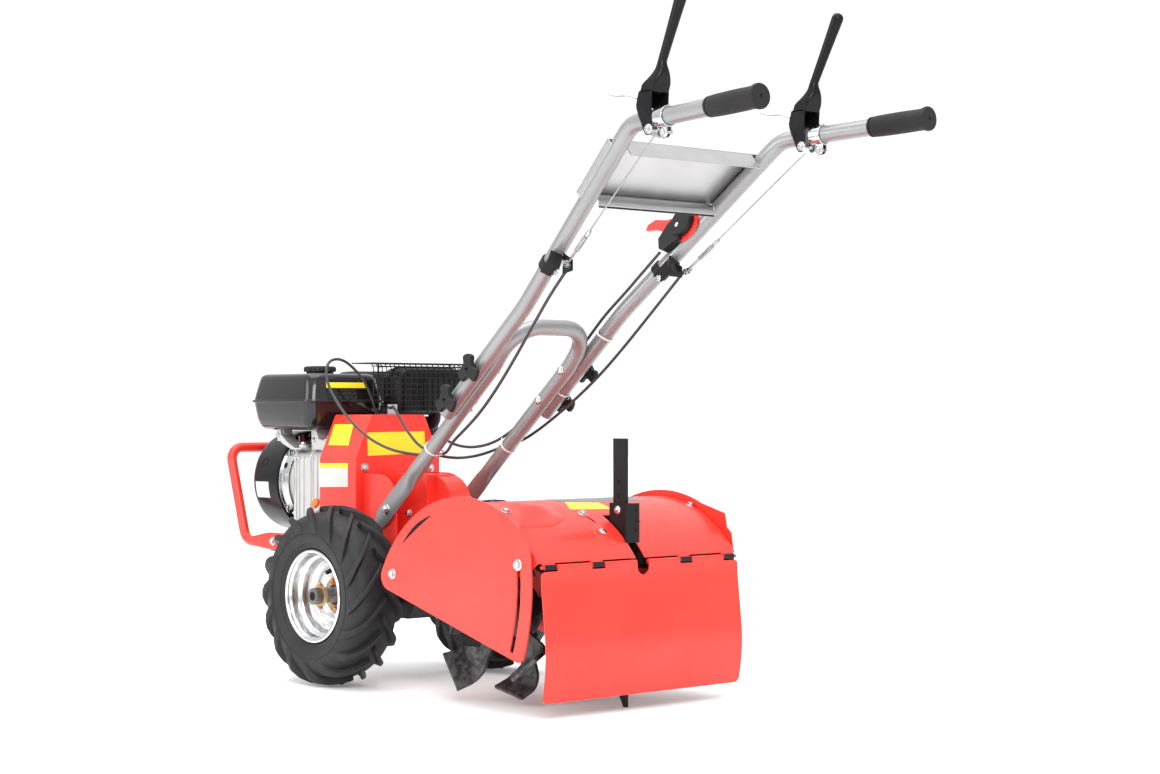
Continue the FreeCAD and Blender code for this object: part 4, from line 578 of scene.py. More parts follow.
def make_tyre(side, sign):
    """A turned carcass, and two rows of curved lugs that take turns round it."""
    centre = at(sign * WHEEL_X, 0, AXLE_Z)
    carcass = Shape()
    half = TREAD[1:]
    profile = [(-across, radius) for across, radius in reversed(half)] + [(0, TREAD[0][1])] + half
    ridge = [(0.047, 0.0925), (0.044, 0.088), (0.0405, 0.087), (0.037, 0.0885), (0.033, 0.09)]
    inner = [(-across, radius) for across, radius in reversed(ridge)]
    carcass.lathe(inner[:-1] + profile + ridge[1:], centre, X, 96)
    for across in (-0.0534, 0.0534):
        carcass.torus(centre + X * across, X, 0.118, 0.0012, 96, 6)
        carcass.torus(centre + X * across * 0.905, X, 0.0985, 0.0014, 96, 6)
    body = side + "_wheel"
    carcass.piece(side + "_tyre_carcass", RUBBER, body, replaces=side + "_tyre", angle=60)

    lugs = Shape()
    for number in range(LUGS):
        for way in (1, -1):
            start = math.tau * (number + (0.5 if way < 0 else 0)) / LUGS
            loops = []
            for station in range(8):
                share = station / 7
                here, out = tread_frame(share)
                turn = start - LUG_SWEEP * (1 - (1 - share) ** LUG_CURL)
                lean = Vector((way * out.x, out.y))
                loop = []
                for edge, rise in ((-1.25, -0.002), (-0.85, LUG_RISE[station]), (0.85, LUG_RISE[station]),
                        (1.25, -0.002)):
                    radius = here.y + lean.y * rise
                    angle = turn + edge * LUG_HALF[station] / radius
                    across = way * here.x + lean.x * rise
                    loop.append(centre + Vector((across, radius * math.cos(angle), radius * math.sin(angle))))
                loops.append(loop)
            lugs.rings(loops)
    lugs.piece(side + "_tyre_lugs", RUBBER, body, bevel=0.0014)


def make_rim(side, sign):
    centre = at(sign * WHEEL_X, 0, AXLE_Z)
    out = X * sign
    body = side + "_wheel"
    barrel = [(0.0445, 0.08), (0.0462, 0.0835), (0.0462, 0.0862), (0.0448, 0.088), (0.0425, 0.0882),
        (0.0405, 0.0868), (0.0395, 0.084), (0.0375, 0.0812), (0.033, 0.08), (0.0215, 0.0796), (0.019, 0.077),
        (0.018, 0.073), (0.016, 0.0716), (-0.002, 0.071), (-0.018, 0.0716), (-0.02, 0.074), (-0.0215, 0.079),
        (-0.024, 0.08), (-0.037, 0.0808), (-0.04, 0.0845), (-0.0415, 0.0878), (-0.0445, 0.088),
        (-0.0458, 0.0855), (-0.044, 0.082)]
    turned(side + "_rim_barrel", RIM, barrel, centre, out, body, 96, replaces=side + "_rim", thick=0.0022,
        angle=50)
    dish = [(-0.001, 0.0716), (-0.0075, 0.069), (-0.011, 0.064), (-0.012, 0.056), (-0.0095, 0.052),
        (-0.007, 0.048), (-0.007, 0.0425), (-0.009, 0.039), (-0.012, 0.0365), (-0.0125, 0.0225)]
    turned(side + "_rim_disc", RIM, dish, centre, out, body, 96, thick=0.0026, angle=50)
    flange = [(-0.012, 0.0225), (-0.012, 0.0322), (-0.008, 0.0325), (-0.0072, 0.0312), (-0.0072, 0.0205),
        (-0.005, 0.0192)]
    turned(side + "_hub_flange", BRASS_ZINC, flange, centre, out, body, replaces=side + "_hub", angle=40)
    sleeve = [(-0.042, 0.0127), (-0.042, 0.0185), (-0.014, 0.019), (-0.006, 0.0195), (0.004, 0.0155),
        (0.0428, 0.0155), (0.0436, 0.0147), (0.0436, 0.0127)]
    turned(side + "_hub_sleeve", DARK_STEEL, sleeve, centre, out, body, closed=True, angle=40)
    # painted shade: a dark disc across the hub's bore stands for the shade down the hole
    bore = [(0.044, 0.0085), (0.0441, 0.0085), (0.0441, 0.0)]
    turned(side + "_axle_bore_shade", GAP_SHADE, bore, centre, out, body, 32)
    collar = [(0.0225, 0.015), (0.0225, 0.02), (0.0233, 0.0208), (0.0297, 0.0208), (0.0305, 0.02),
        (0.0305, 0.015)]
    turned(side + "_hub_collar", BRASS_ZINC, collar, centre, out, body, closed=True, angle=40)
    pins = Shape()
    for way in (Z, -Z):
        pins.bolt(centre + out * 0.0265 + way * 0.0206, way, 0.0046)
    pins.piece(side + "_collar_bolts", COPPER, body, bevel=0.0003)
    bolts = Shape()
    for number in range(4):
        turn = math.tau * (number + 0.12) / 4
        bolts.bolt(centre + around(Y, Z, turn, 0.0262) + out * -0.0072, out, 0.0054)
    bolts.piece(side + "_wheel_bolts", COPPER, body, bevel=0.0004)
    valve = Shape()
    spoke = around(Y, Z, math.radians(62))
    foot = centre + spoke * 0.064 + out * 0.004
    tip = foot + out * 0.026 - spoke * 0.014
    length = (tip - foot).length
    valve.lathe([(0, 0.0068), (0.003, 0.0062), (0.006, 0.0042), (length * 0.6, 0.0036),
        (length * 0.62, 0.0045), (length * 0.97, 0.0043), (length, 0.0034)], foot, tip - foot, 16,
        capped=True)
    valve.piece(side + "_valve", PLASTIC, body)


for side, sign in SIDES:
    make_tyre(side, sign)
    make_rim(side, sign)


# ---------------------------------------------------------------- engine
# the crankshaft's line, which runs along Y
CRANK = at(0, 0, 0.374)
STEPS_A_RIB = 4


def ribbed(shape, levels, centre, axis, count, depth):
    """A turned body whose rim has ribs: levels are (along, radius, share of the ribs' depth)."""
    axis = axis.normalized()
    first, second = square_to(axis)
    loops = []
    for along, radius, share in levels:
        loop = []
        for turn in turns(count * STEPS_A_RIB):
            reach = radius + depth * share * math.cos(turn * count)
            loop.append(centre + axis * along + around(first, second, turn, reach))
        loops.append(loop)
    shape.rings(loops)


def make_tank():
    low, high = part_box("fuel_tank")
    levels = [(0.4785, 0.04, 0.02), (0.479, 0.029, 0.024), (0.4812, 0.0205, 0.026), (0.485, 0.015, 0.027),
        (0.491, 0.0112, 0.027), (0.502, 0.0082, 0.026), (0.518, 0.0058, 0.026), (0.5338, 0.0038, 0.025),
        (0.5345, 0.0004, 0.027), (0.5352, 0.0, 0.027), (0.5385, 0.0, 0.027), (0.5392, 0.0004, 0.027),
        (0.5398, 0.0038, 0.025), (0.55, 0.0056, 0.025), (0.567, 0.009, 0.026), (0.579, 0.0115, 0.026),
        (0.585, 0.0132, 0.026), (0.5885, 0.0155, 0.026), (0.5906, 0.019, 0.026), (0.5917, 0.024, 0.024),
        (0.592, 0.033, 0.02)]
    tank = Shape()
    loops = [[Vector((u, v, z)) for u, v in rounded((low.x + inset, low.y + inset),
        (high.x - inset, high.y - inset), radius, 6)] for z, inset, radius in levels]
    tank.rings(loops)
    tank.piece("tank_shell", TANK, replaces="fuel_tank", angle=50)
    strip = Shape()
    strip.prism([(-0.023, -0.0055), (0.076, -0.0055), (0.0755, 0.0055), (-0.0225, 0.0055)],
        at(0, -0.1866, 0.568), X, Vector((0, -0.2, 1)), -0.004)
    strip.piece("tank_strip", YELLOW, bevel=0.0003)

    cap = Shape()
    centre = at(0.025, -0.278, 0.592)
    cap.lathe([(-0.002, 0.0275), (0.005, 0.0275), (0.005, 0.02)], centre, Z, 40, capped=True)
    ribbed(cap, [(0.0045, 0.0305, 0), (0.0052, 0.0318, 1), (0.013, 0.0318, 1), (0.0148, 0.03, 0.4),
        (0.0156, 0.0275, 0), (0.0157, 0.02, 0), (0.0163, 0.018, 0)], centre, Z, 28, 0.0009)
    cap.piece("fuel_cap", PLASTIC, replaces="tank_cap", angle=40)


def rim_patch(shape, centre, axis, radius, along, start, stop, thickness=0.0006, steps=10):
    """A thin plate wrapped on a drum, between two distances along its axis and two angles in degrees."""
    axis = axis.normalized()
    first, second = square_to(axis)
    loops = []
    for step in range(steps + 1):
        out = around(first, second, math.radians(lerp(start, stop, step / steps)))
        loops.append([centre + axis * a + out * r for a, r in ((along[0], radius), (along[1], radius),
            (along[1], radius + thickness), (along[0], radius + thickness))])
    shape.rings(loops)


def make_recoil():
    """The starter's drum with its slots and ribs, a blank plate and the grip."""
    drum = Shape()
    back = CRANK + Y * -0.317
    drum.lathe([(0, 0.09), (0, 0.1018), (0.0012, 0.103), (0.004, 0.103), (0.0046, 0.1022), (0.078, 0.1022),
        (0.086, 0.1004), (0.0915, 0.0958), (0.0932, 0.09), (0.0936, 0.086), (0.0944, 0.07), (0.0948, 0.056),
        (0.0948, 0.024), (0.093, 0.0225), (0.093, 0.0)], back, -Y, 96)
    for number, turn in enumerate(turns(30)):
        if number % 10:
            out = around(X, Z, turn)
            drum.prism([(0, -0.0014), (0.033, -0.0022), (0.033, 0.0022), (0, 0.0014)],
                back + out * 0.03 - Y * 0.0942, out, out.cross(Y), 0.0022)
    for number in range(14):
        spot = back + around(X, Z, math.radians(lerp(100, 170, number / 13)), 0.1026)
        drum.rod(spot - Y * 0.016, spot - Y * 0.06, 0.0012, 8)
    out = around(X, Z, math.radians(22))
    drum.torus(back + out * 0.1023 - Y * 0.054, out, 0.0085, 0.0007, 28, 6)
    drum.piece("recoil_cover", BLACK_GLOSS, replaces="recoil_housing", angle=40)
    plate = Shape()
    rim_patch(plate, back, -Y, 0.1024, (0.031, 0.076), -19, -0.5)
    plate.piece("recoil_plate", WHITE, angle=60)
    grip = Shape()
    heart = back + Vector((-0.07, -0.09, 0.066))
    reach = Vector((0.016, 0, 0.014))
    grip.pipe(bent([heart - reach, heart, heart + reach], [0.02], 4), 0.0085, 14)
    grip.rod(heart + Y * 0.018, heart, 0.006, 14)
    grip.piece("starter_grip", PLASTIC, bevel=0.0015, angle=50)


def make_shroud():
    """The plates, gasket and bell between the starter and the crankcase."""
    start = CRANK + Y * -0.3167
    plates = Shape()
    plates.lathe([(0, 0.06), (0, 0.1), (0.0032, 0.1), (0.0032, 0.09)], start, Y, 96)
    plates.lathe([(0.0155, 0.08), (0.0155, 0.0965), (0.0185, 0.0965), (0.0185, 0.086)], start, Y, 96)
    for turn, reach in ((38, 0.104), (-34, 0.106), (142, 0.104), (218, 0.104), (4, 0.1), (74, 0.102)):
        out = around(X, Z, math.radians(turn))
        plates.prism([(0, -0.016)] + arc((reach - 0.089, 0), 0.009, -80, 80, 8) + [(0, 0.016)],
            start + Y * 0.0155 + out * 0.08, out, out.cross(Y), 0.003)
        plates.bolt(start + Y * 0.0185 + out * (reach - 0.009), Y, 0.0042)
    plates.prism([(0.03, 0.06), (0.052, 0.056), (0.064, 0.074), (0.066, 0.092), (0.058, 0.098), (0.05, 0.084),
        (0.036, 0.08)], start + Y * 0.02, X, Z, -0.004)
    plates.piece("shroud_plates", ZINC, replaces="cooling_shroud", bevel=0.0005)
    gasket = Shape()
    gasket.lathe([(0.003, 0.06), (0.003, 0.0915), (0.0157, 0.0905), (0.0157, 0.06)], start, Y, 72)
    gasket.lathe([(0.018, 0.06), (0.018, 0.0905), (0.0225, 0.09), (0.0225, 0.06)], start, Y, 72)
    gasket.piece("shroud_gasket", PLASTIC)
    bell = [(0.0225, 0.05), (0.0225, 0.09), (0.027, 0.09), (0.0337, 0.083), (0.034, 0.05)]
    turned("crankcase_bell", CAST, bell, start, Y, steps=72, angle=40)
    baffle = Shape()
    rim_patch(baffle, start, Y, 0.0955, (0.002, 0.03), 106, 242, 0.0012, 28)
    for turn in (-30, 8, 42):
        out = around(X, Z, math.radians(turn))
        baffle.bolt(start + Y * 0.024 + out * 0.0967, out, 0.004)
    baffle.piece("shroud_baffle", ZINC, bevel=0.0004)
    # painted shade: a dark disc on the baffle stands for the shade in its hole
    out = around(X, Z, math.radians(20))
    turned("baffle_hole_shade", GAP_SHADE, [(0, 0.0062), (0.0002, 0.0062), (0.0002, 0.0)],
        start + Y * 0.013 + out * 0.0968, out, steps=24)


def make_crankcase():
    """A ribbed casting with its oil plug and bolts."""
    low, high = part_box("crankcase")
    case = Shape()
    half = high.x - 0.0024
    depth = high.y - low.y
    case.prism(rounded((-half, low.z), (half, high.z - 0.004), 0.018), Vector((0, low.y, 0)), X, Z, -depth)
    case.prism(rounded((-high.x, low.z), (high.x, high.z), 0.02), Vector((0, low.y, 0)), X, Z, -0.0075)
    case.prism(rounded((-high.x, low.z), (high.x, high.z), 0.02), Vector((0, low.y + 0.052, 0)), X, Z,
        -0.0055)
    for sign in (1, -1):
        left, right = sorted((sign * half, sign * (high.x - 0.0004)))
        for number in range(6):
            along = low.y + 0.015 + number * 0.0155
            if abs(along - low.y - 0.052) >= 0.009:
                case.block(Vector((left, along, 0.296)), Vector((right, along + 0.0026, 0.428)))
    for number in range(8):
        across = -0.066 + number * 0.0185
        case.block(Vector((across, low.y + 0.01, high.z - 0.0041)),
            Vector((across + 0.0026, high.y - 0.004, high.z - 0.0008)))
    case.lathe([(0, 0.016), (0.008, 0.015), (0.01, 0.0125)], at(0.08, -0.198, 0.33), X + Z * 0.35, 24,
        capped=True)
    case.piece("crankcase_casting", CAST, replaces="crankcase", bevel=0.0011)
    plug = Shape()
    out = (X + Z * 0.35).normalized()
    ribbed(plug, [(0.0095, 0.0075, 0), (0.0102, 0.009, 1), (0.016, 0.009, 1), (0.0172, 0.008, 0.4),
        (0.0175, 0.005, 0)], at(0.08, -0.198, 0.33), out, 12, 0.0008)
    plug.piece("oil_plug", ORANGE_PLASTIC, bevel=0.0005)
    bolts = [(high.x - 0.0005, along, height, X, 0.005) for along in (-0.274, -0.181)
        for height in (0.288, 0.42)]
    bolts.append((high.x - 0.001, -0.236, 0.291, X, 0.0075))
    bolts += [(across, -0.2752, height, Y, 0.0045) for across in (-0.074, 0.074)
        for height in (0.284, 0.356, 0.428)]
    make_bolts("crankcase_bolts", bolts)


def make_tank_brackets():
    front = Shape()
    front.prism([(-0.337, 0.48), (-0.322, 0.48), (-0.32, 0.47), (-0.3, 0.456), (-0.272, 0.443),
        (-0.25, 0.443), (-0.25, 0.4395), (-0.283, 0.4395), (-0.31, 0.449), (-0.334, 0.462)], at(0.062, 0, 0),
        Y, Z, 0.03)
    front.rod(at(0.082, -0.329, 0.456), at(0.082, -0.329, 0.479), 0.0095, 20)
    front.rod(at(0.077, -0.26, 0.4395), at(0.077, -0.26, 0.45), 0.01, 20)
    front.piece("front_bracket_casting", CAST, replaces="tank_bracket_front", bevel=0.0012)
    rear = Shape()
    rear.prism([(-0.24, 0.48), (-0.222, 0.48), (-0.216, 0.462), (-0.18, 0.456), (-0.176, 0.4395),
        (-0.238, 0.4395)], at(0.04, 0, 0), Y, Z, 0.034)
    rear.rod(at(0.066, -0.229, 0.4395), at(0.066, -0.229, 0.479), 0.0085, 20)
    rear.rod(at(0.062, -0.193, 0.44), at(0.062, -0.193, 0.462), 0.011, 20)
    rear.piece("rear_bracket_casting", CAST, replaces="tank_bracket_rear", bevel=0.0012)
    make_bolts("bracket_bolts", [(0.077, -0.26, 0.4498, Z, 0.0055), (0.062, -0.193, 0.4618, Z, 0.0055),
        (0.0905, -0.329, 0.468, X, 0.005), (0.074, -0.229, 0.458, X, 0.005)])


def make_cylinder():
    """The finned cylinder, which leans to the right, with its cover, spark plug and lead."""
    lean = math.radians(25)
    axis = Vector((-math.cos(lean), 0, math.sin(lean)))
    up = Vector((math.sin(lean), 0, math.cos(lean)))
    front, rear = -0.2747, -0.1773
    middle = (front + rear) / 2
    half = (rear - front) / 2
    fins = Shape()

    def slab(start, stop, width, height, radius):
        outline = rounded((-width, -height), (width, height), radius)
        fins.prism(outline, CRANK + Y * middle + axis * start, Y, up, stop - start)

    slab(0.08, 0.2, half - 0.014, 0.036, 0.012)
    for number in range(10):
        start = 0.096 + number * 0.0082
        slab(start, start + 0.0022, half, 0.0495, 0.014)
    slab(0.178, 0.181, half, 0.0495, 0.014)
    for number in range(4):
        start = 0.184 + number * 0.0068
        slab(start, start + 0.002, half - 0.004, 0.046, 0.012)
    fins.piece("cylinder_fins", CAST, replaces="cylinder_head", bevel=0.0005)
    cover = Shape()
    cover.prism(rounded((-half + 0.014, -0.034), (half - 0.014, 0.034), 0.012),
        CRANK + Y * middle + axis * 0.2, Y, up, 0.015)
    cover.piece("valve_cover", ZINC, bevel=0.003, segments=4)
    plug = Shape()
    seat = CRANK + Y * (front + 0.02) + axis * 0.196 + up * 0.03
    way = (axis * 0.45 + up * 0.9).normalized()
    plug.rod(seat, seat + way * 0.016, 0.0085, 6)
    plug.piece("spark_plug", ZINC, bevel=0.0004)
    boot = Shape()
    knee = seat + way * 0.03
    aside = (X * 0.6 - Y * 0.7).normalized()
    boot.pipe(bent([seat + way * 0.01, knee, knee + aside * 0.03], [0.01], 6), 0.0085, 16)
    lead = [knee + aside * 0.026, at(-0.118, -0.305, 0.472), at(-0.092, -0.322, 0.452)]
    boot.pipe(bent(lead, [0.02], 8), 0.0036, 12)
    boot.piece("plug_boot", PLASTIC, angle=50)


def stack(shape, section, centre, start, half_wide, half_tall, levels):
    """A skin over a section of (x, z) at (distance behind start, shrinkage of each half size)."""
    loops = []
    for along, shrink in levels:
        loops.append([Vector((centre.x + (u - centre.x) * (1 - shrink / half_wide), start + along,
            centre.z + (v - centre.z) * (1 - shrink / half_tall))) for u, v in section])
    shape.rings(loops)


def make_intake():
    """The air cleaner's case and knob, and the carburettor."""
    low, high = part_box("air_cleaner")
    case = Shape()
    depth = high.y - low.y
    section = rounded((low.x, low.z), (high.x, high.z), 0.02)
    centre = Vector(((low.x + high.x) / 2, 0, (low.z + high.z) / 2))
    stack(case, section, centre, low.y, 0.066, 0.062, [(0, 0.01), (0.002, 0.005), (0.006, 0.002),
        (0.012, 0.0008), (0.04, 0), (0.0402, 0.0018), (0.043, 0.0018), (0.0432, 0), (depth - 0.012, 0.0008),
        (depth - 0.005, 0.0026), (depth - 0.001, 0.007), (depth, 0.012)])
    for number in range(6):
        height = low.z + 0.028 + number * 0.0145
        case.block(Vector((low.x + 0.024, low.y - 0.0006, height)),
            Vector((high.x - 0.024, low.y + 0.0012, height + 0.005)))
    case.piece("filter_case", PLASTIC, replaces="air_cleaner", angle=40)
    knob = Shape()
    ribbed(knob, [(0, 0.006, 0), (0.002, 0.0115, 1), (0.0085, 0.0115, 1), (0.0105, 0.008, 0)],
        Vector((centre.x, low.y + 0.001, high.z - 0.022)), -Y, 6, 0.0018)
    knob.piece("filter_knob", PLASTIC)
    carb_low, carb_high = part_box("carburettor")
    body = Shape()
    mid = (carb_low + carb_high) / 2
    body.prism(rounded((carb_low.y + 0.006, mid.z - 0.01), (carb_high.y - 0.006, carb_high.z - 0.001), 0.008),
        Vector((carb_low.x + 0.004, 0, 0)), Y, Z, carb_high.x - carb_low.x - 0.008)
    body.lathe([(0, 0.014), (0.004, 0.0185), (0.024, 0.019), (0.0245, 0.012)],
        Vector((mid.x, mid.y, carb_low.z)), Z, 36, capped=True)
    body.lathe([(0, 0.018), (0.01, 0.018), (0.01, 0.01)], Vector((mid.x, carb_low.y + 0.0003, mid.z + 0.008)),
        Y, 32, capped=True)
    body.rod(Vector((carb_high.x - 0.012, mid.y, mid.z)), Vector((carb_high.x - 0.0003, mid.y, mid.z)),
        0.0095, 20)
    body.piece("carburettor_casting", CAST, replaces="carburettor", bevel=0.0008)
    link = Shape()
    link.prism([(-0.014, -0.004), (0.014, -0.004), (0.018, 0.01), (0.006, 0.02), (-0.01, 0.012)],
        Vector((carb_high.x - 0.009, mid.y, carb_high.z)), Y, X, 0.0016)
    link.rod(Vector((mid.x, mid.y, carb_high.z - 0.002)), Vector((mid.x, mid.y, carb_high.z + 0.008)), 0.003,
        12)
    link.bolt(Vector((mid.x, mid.y, carb_low.z + 0.0008)), -Z, 0.0045)
    link.piece("throttle_link", ZINC, bevel=0.0003)


# how a louvre swells from its ends
LOUVRE = [(0.2, 0.3), (1, 1), (1, 1), (0.2, 0.3)]


def make_muffler():
    """The exhaust's can and heat shield, with a wire cage and its cover plate."""
    low, high = at(-0.222, -0.174, 0.512), at(-0.052, -0.112, 0.604)
    can = Shape()
    section = rounded((low.x, low.z), (high.x, high.z), 0.022, 7)
    centre = (low + high) / 2
    stack(can, section, centre, low.y, 0.085, 0.046, [(0.0, 0.012), (0.002, 0.005), (0.008, 0.001),
        (0.028, 0), (0.0285, -0.003), (0.0315, -0.003), (0.032, 0), (0.052, 0.001), (0.06, 0.006),
        (0.062, 0.014)])
    can.pipe(bent([at(-0.168, -0.177, 0.486), at(-0.168, -0.15, 0.486), at(-0.168, -0.145, 0.52)], [0.022],
        8), 0.013, 20)
    can.prism(rounded((-0.196, 0.466), (-0.14, 0.506), 0.008), at(0, -0.1766, 0), X, Z, -0.006)
    can.piece("muffler_can", BLACK, replaces="muffler", angle=40)
    shield = Shape()
    plate = rounded((low.x + 0.006, low.z + 0.006), (high.x - 0.01, high.z - 0.004), 0.016)
    shield.prism(plate, Vector((0, high.y + 0.001, 0)), X, Z, -0.0012)
    for across in (-0.146, -0.108):
        for number in range(5):
            height = 0.53 + number * 0.013
            start = at(across, -0.1098, height)
            shield.pipe([start, start + X * 0.004, start + X * 0.028, start + X * 0.032], 0.003, 10,
                squash=LOUVRE)
    for across in (-0.21, -0.164, -0.072):
        shield.bolt(at(across, -0.1098, 0.594), Y, 0.0042)
    shield.piece("muffler_shield", BLACK, bevel=0.0004)

    cage = Shape()
    wire = 0.0011
    left, right = -0.043 - wire, -0.231 + wire
    far_left = 0.022
    front, rear = -0.173, -0.101 - wire
    bottom, top = 0.515, 0.612
    uprights = [(lerp(right, left, number / 13), bottom) for number in range(14)]
    uprights += [(lerp(left, far_left, number / 6), 0.545) for number in range(1, 7)]
    for across, foot in uprights:
        cage.pipe(bent([at(across, front, top), at(across, rear, top), at(across, rear, foot)], [0.012], 4),
            wire, 6)
    rows = 8
    for number in range(rows + 1):
        height = lerp(bottom, top - 0.006, number / rows)
        end = far_left if height > 0.544 else left
        cage.pipe(bent([at(right, front, height), at(right, rear, height), at(end, rear, height)], [0.01], 4),
            wire, 6)
        cage.rod(at(left, front, height), at(left, rear - 0.006, height), wire, 6)
    for number in range(6):
        along = lerp(front, rear - 0.01, number / 5)
        cage.rod(at(right, along, top + 0.0006), at(far_left, along, top + 0.0006), wire, 6)
    for number in range(6):
        along = lerp(front, rear - 0.006, number / 5)
        cage.rod(at(right, along, bottom), at(right, along, top), wire, 6)
    for across in (left, right):
        cage.rod(at(across, front, bottom), at(across, front, top), wire * 1.4, 6)
    for inner, outer in ((-0.0525, left), (-0.2215, right)):
        cage.rod(at(inner, -0.15, 0.5455), at(outer, -0.15, 0.5455), 0.0022, 8)
    cover = Shape()
    cover.prism(rounded((-0.226, 0.517), (-0.108, 0.582), 0.006), at(0, -0.1036, 0), X, Z, 0.0012)
    for number in range(5):
        height = 0.527 + number * 0.011
        for start in (-0.163, -0.215):
            cover.pipe([at(start + shift, -0.1052, height) for shift in (0, 0.004, 0.031, 0.035)], 0.0026, 10,
                squash=LOUVRE)
    cover.piece("muffler_cover", BLACK, bevel=0.0004)
    cage.piece("muffler_cage", BLACK, replaces="muffler_guard", angle=70)


make_tank()
make_recoil()
make_shroud()
make_crankcase()
make_tank_brackets()
make_cylinder()
make_intake()
make_muffler()


# ---------------------------------------------------------------- covers' bolts and blank plates
def make_cover_trim():
    plates = Shape()
    plates.prism([(-0.067, 0.434), (0.0745, 0.43), (0.076, 0.4755), (-0.065, 0.477)], at(0, -0.0499, 0), X, Z,
        -0.0005)
    slope = Vector((-38, 0, 86)).normalized()
    plates.prism([(-0.156, 0.0285), (-0.09, 0.0285), (-0.098, 0.073), (-0.16, 0.073)], at(0.1031, 0, 0.424),
        Y, slope, 0.0005)
    plates.prism([(-0.17, 0.4045), (-0.0765, 0.4065), (-0.0765, 0.416), (-0.17, 0.414)], at(0.1029, 0, 0), Y,
        Z, 0.0006)
    plates.piece("cover_plates", YELLOW, bevel=0.0002)
    white = Shape()
    white.prism([(-0.17, 0.367), (-0.0765, 0.37), (-0.0765, 0.4065), (-0.17, 0.4045)], at(0.1029, 0, 0), Y, Z,
        0.0005)
    white.piece("cover_white_plate", WHITE, slot="red_paint", bevel=0.0002)
    make_bolts("cover_bolts", [(0.082, -0.05, 0.407, Y, 0.0062), (-0.08, -0.05, 0.404, Y, 0.0062),
        (0.045, -0.048, 0.386, Y, 0.0055), (0.045, 0.042, 0.321, X, 0.006),
        (-0.045, -0.015, 0.345, -X, 0.006), (-0.045, -0.012, 0.3, -X, 0.006)])


make_cover_trim()


# ---------------------------------------------------------------- handlebars
# the lower legs' rise over their run, and half the distance between them
SLOPE = (0.593 - 0.333) / (0.343 - 0.04)
LEG = 0.091


def on_leg(across, along):
    """The point of the lower legs' straight line at one Y."""
    return at(across, along, 0.333 + SLOPE * (along - 0.04))


LEG_RUN = Vector((0, 1, SLOPE)).normalized()
TUBE_R = 0.0145
# the radius of what is slid over a tube, and where the knobs are along the legs
SLEEVE_R = TUBE_R + 0.0003
KNOBS = {"lower": 0.279, "upper": 0.343}
# the corners of an upper tube, from its foot to the grip's end
UPPER = [(0.1203, 0.25, 0.5132), (0.1203, 0.47, 0.702), (0.179, 0.805, 0.988), (0.202, 1.112, 1.0)]


def upper_corner(sign, index):
    x, y, z = UPPER[index]
    return at(sign * x, y, z)


def on_upper(sign, corner, along):
    """An upper tube's centre at one Y, on the run that starts at a corner."""
    share = (along - UPPER[corner][1]) / (UPPER[corner + 1][1] - UPPER[corner][1])
    return lerp(upper_corner(sign, corner), upper_corner(sign, corner + 1), share)


def mirrored(place):
    return Vector((-place.x, place.y, place.z))


def make_lower_handlebar():
    """One hoop, with each leg's foot pressed flat and its end rounded."""
    bar = Shape()
    knee = on_leg(LEG, 0.352)
    crown = at(LEG, 0.41, 0.669)
    thin, wide = 0.31, 1.36
    straight, flat = [], []
    for step in range(24):
        straight.append(on_leg(LEG, 0.0015 + 0.006 * step))
        end_round = min(1.0, (step + 0.6) / 3) ** 0.5
        settle = min(max((step - 14) / 7, 0), 1)
        settle = settle * settle * (3 - 2 * settle)
        flat.append((lerp(thin, 1.0, settle), lerp(wide * end_round, 1.0, settle)))
    corners = [straight[-1], knee, crown]
    corners += [mirrored(place) for place in reversed(corners)]
    arch = bent(corners, [0.1, 0.062, 0.062, 0.1], 10)[1:-1]
    path = straight + arch + [mirrored(place) for place in reversed(straight)]
    squash = flat + [(1, 1)] * len(arch) + flat[::-1]
    bar.pipe(path, TUBE_R, 28, squash=squash)
    bar.piece("lower_handlebar_tube", TUBE, replaces="lower_handlebar", angle=60)
    bolts = Shape()
    for sign in (1, -1):
        outer = on_leg(sign * (LEG + 0.0043), 0.036)
        bolts.bolt(outer, X * sign, 0.0075)
        for along in KNOBS.values():
            bolts.dome(on_leg(sign * (LEG - TUBE_R), along), X * -sign, 0.0085)
    bolts.piece("handlebar_bolts", ZINC, bevel=0.0003)


def make_knob(name, centre, out):
    """A hand nut with three fat lobes and a hole through its middle."""
    knob = Shape()
    half = [(60, 15.2), (52, 15.3), (44, 15.8), (39, 16.6), (35.5, 18.2), (32.5, 20.8), (29.5, 24.2),
        (26.5, 26.6), (22, 27.5), (15, 27.9), (8, 28.0)]
    lobe = half + [(0, 28.0)] + [(-turn, radius) for turn, radius in half[:0:-1]]
    outline = []
    for number in range(3):
        for turn, radius in lobe:
            angle = math.radians(turn + 120 * number)
            outline.append((radius * math.sin(-angle), radius * math.cos(angle)))

    def loop(along, scale):
        return [centre + out * along + (Y * u + Z * v) * (scale / 1000) for u, v in outline]

    def circle(along, radius):
        return [centre + out * along + (Y * u + Z * v).normalized() * radius for u, v in outline]

    knob.rings([circle(0, 0.0085), circle(0.0002, 0.012), circle(0.0036, 0.0128), loop(0.0042, 0.9),
        loop(0.0052, 0.97), loop(0.007, 1.0), loop(0.0112, 1.0), loop(0.013, 0.965), loop(0.0138, 0.89),
        circle(0.0141, 0.0125), circle(0.015, 0.011), circle(0.0149, 0.0062), circle(0.0142, 0.0054),
        circle(0.0045, 0.005), circle(0.0044, 0.001)])
    knob.piece(name + "_hand_nut", PLASTIC, replaces=name + "_knob", bevel=0.0006, angle=40)


def make_knobs():
    studs = Shape()
    for side, sign in SIDES:
        for level, along in KNOBS.items():
            face = on_leg(sign * (LEG + 3 * TUBE_R + 0.0006), along)
            make_knob(f"{side}_{level}", face, X * sign)
            studs.rod(face + X * sign * 0.0035, face + X * sign * 0.0058, 0.004, 12, tip=0.0006)
    studs.piece("knob_studs", ZINC)


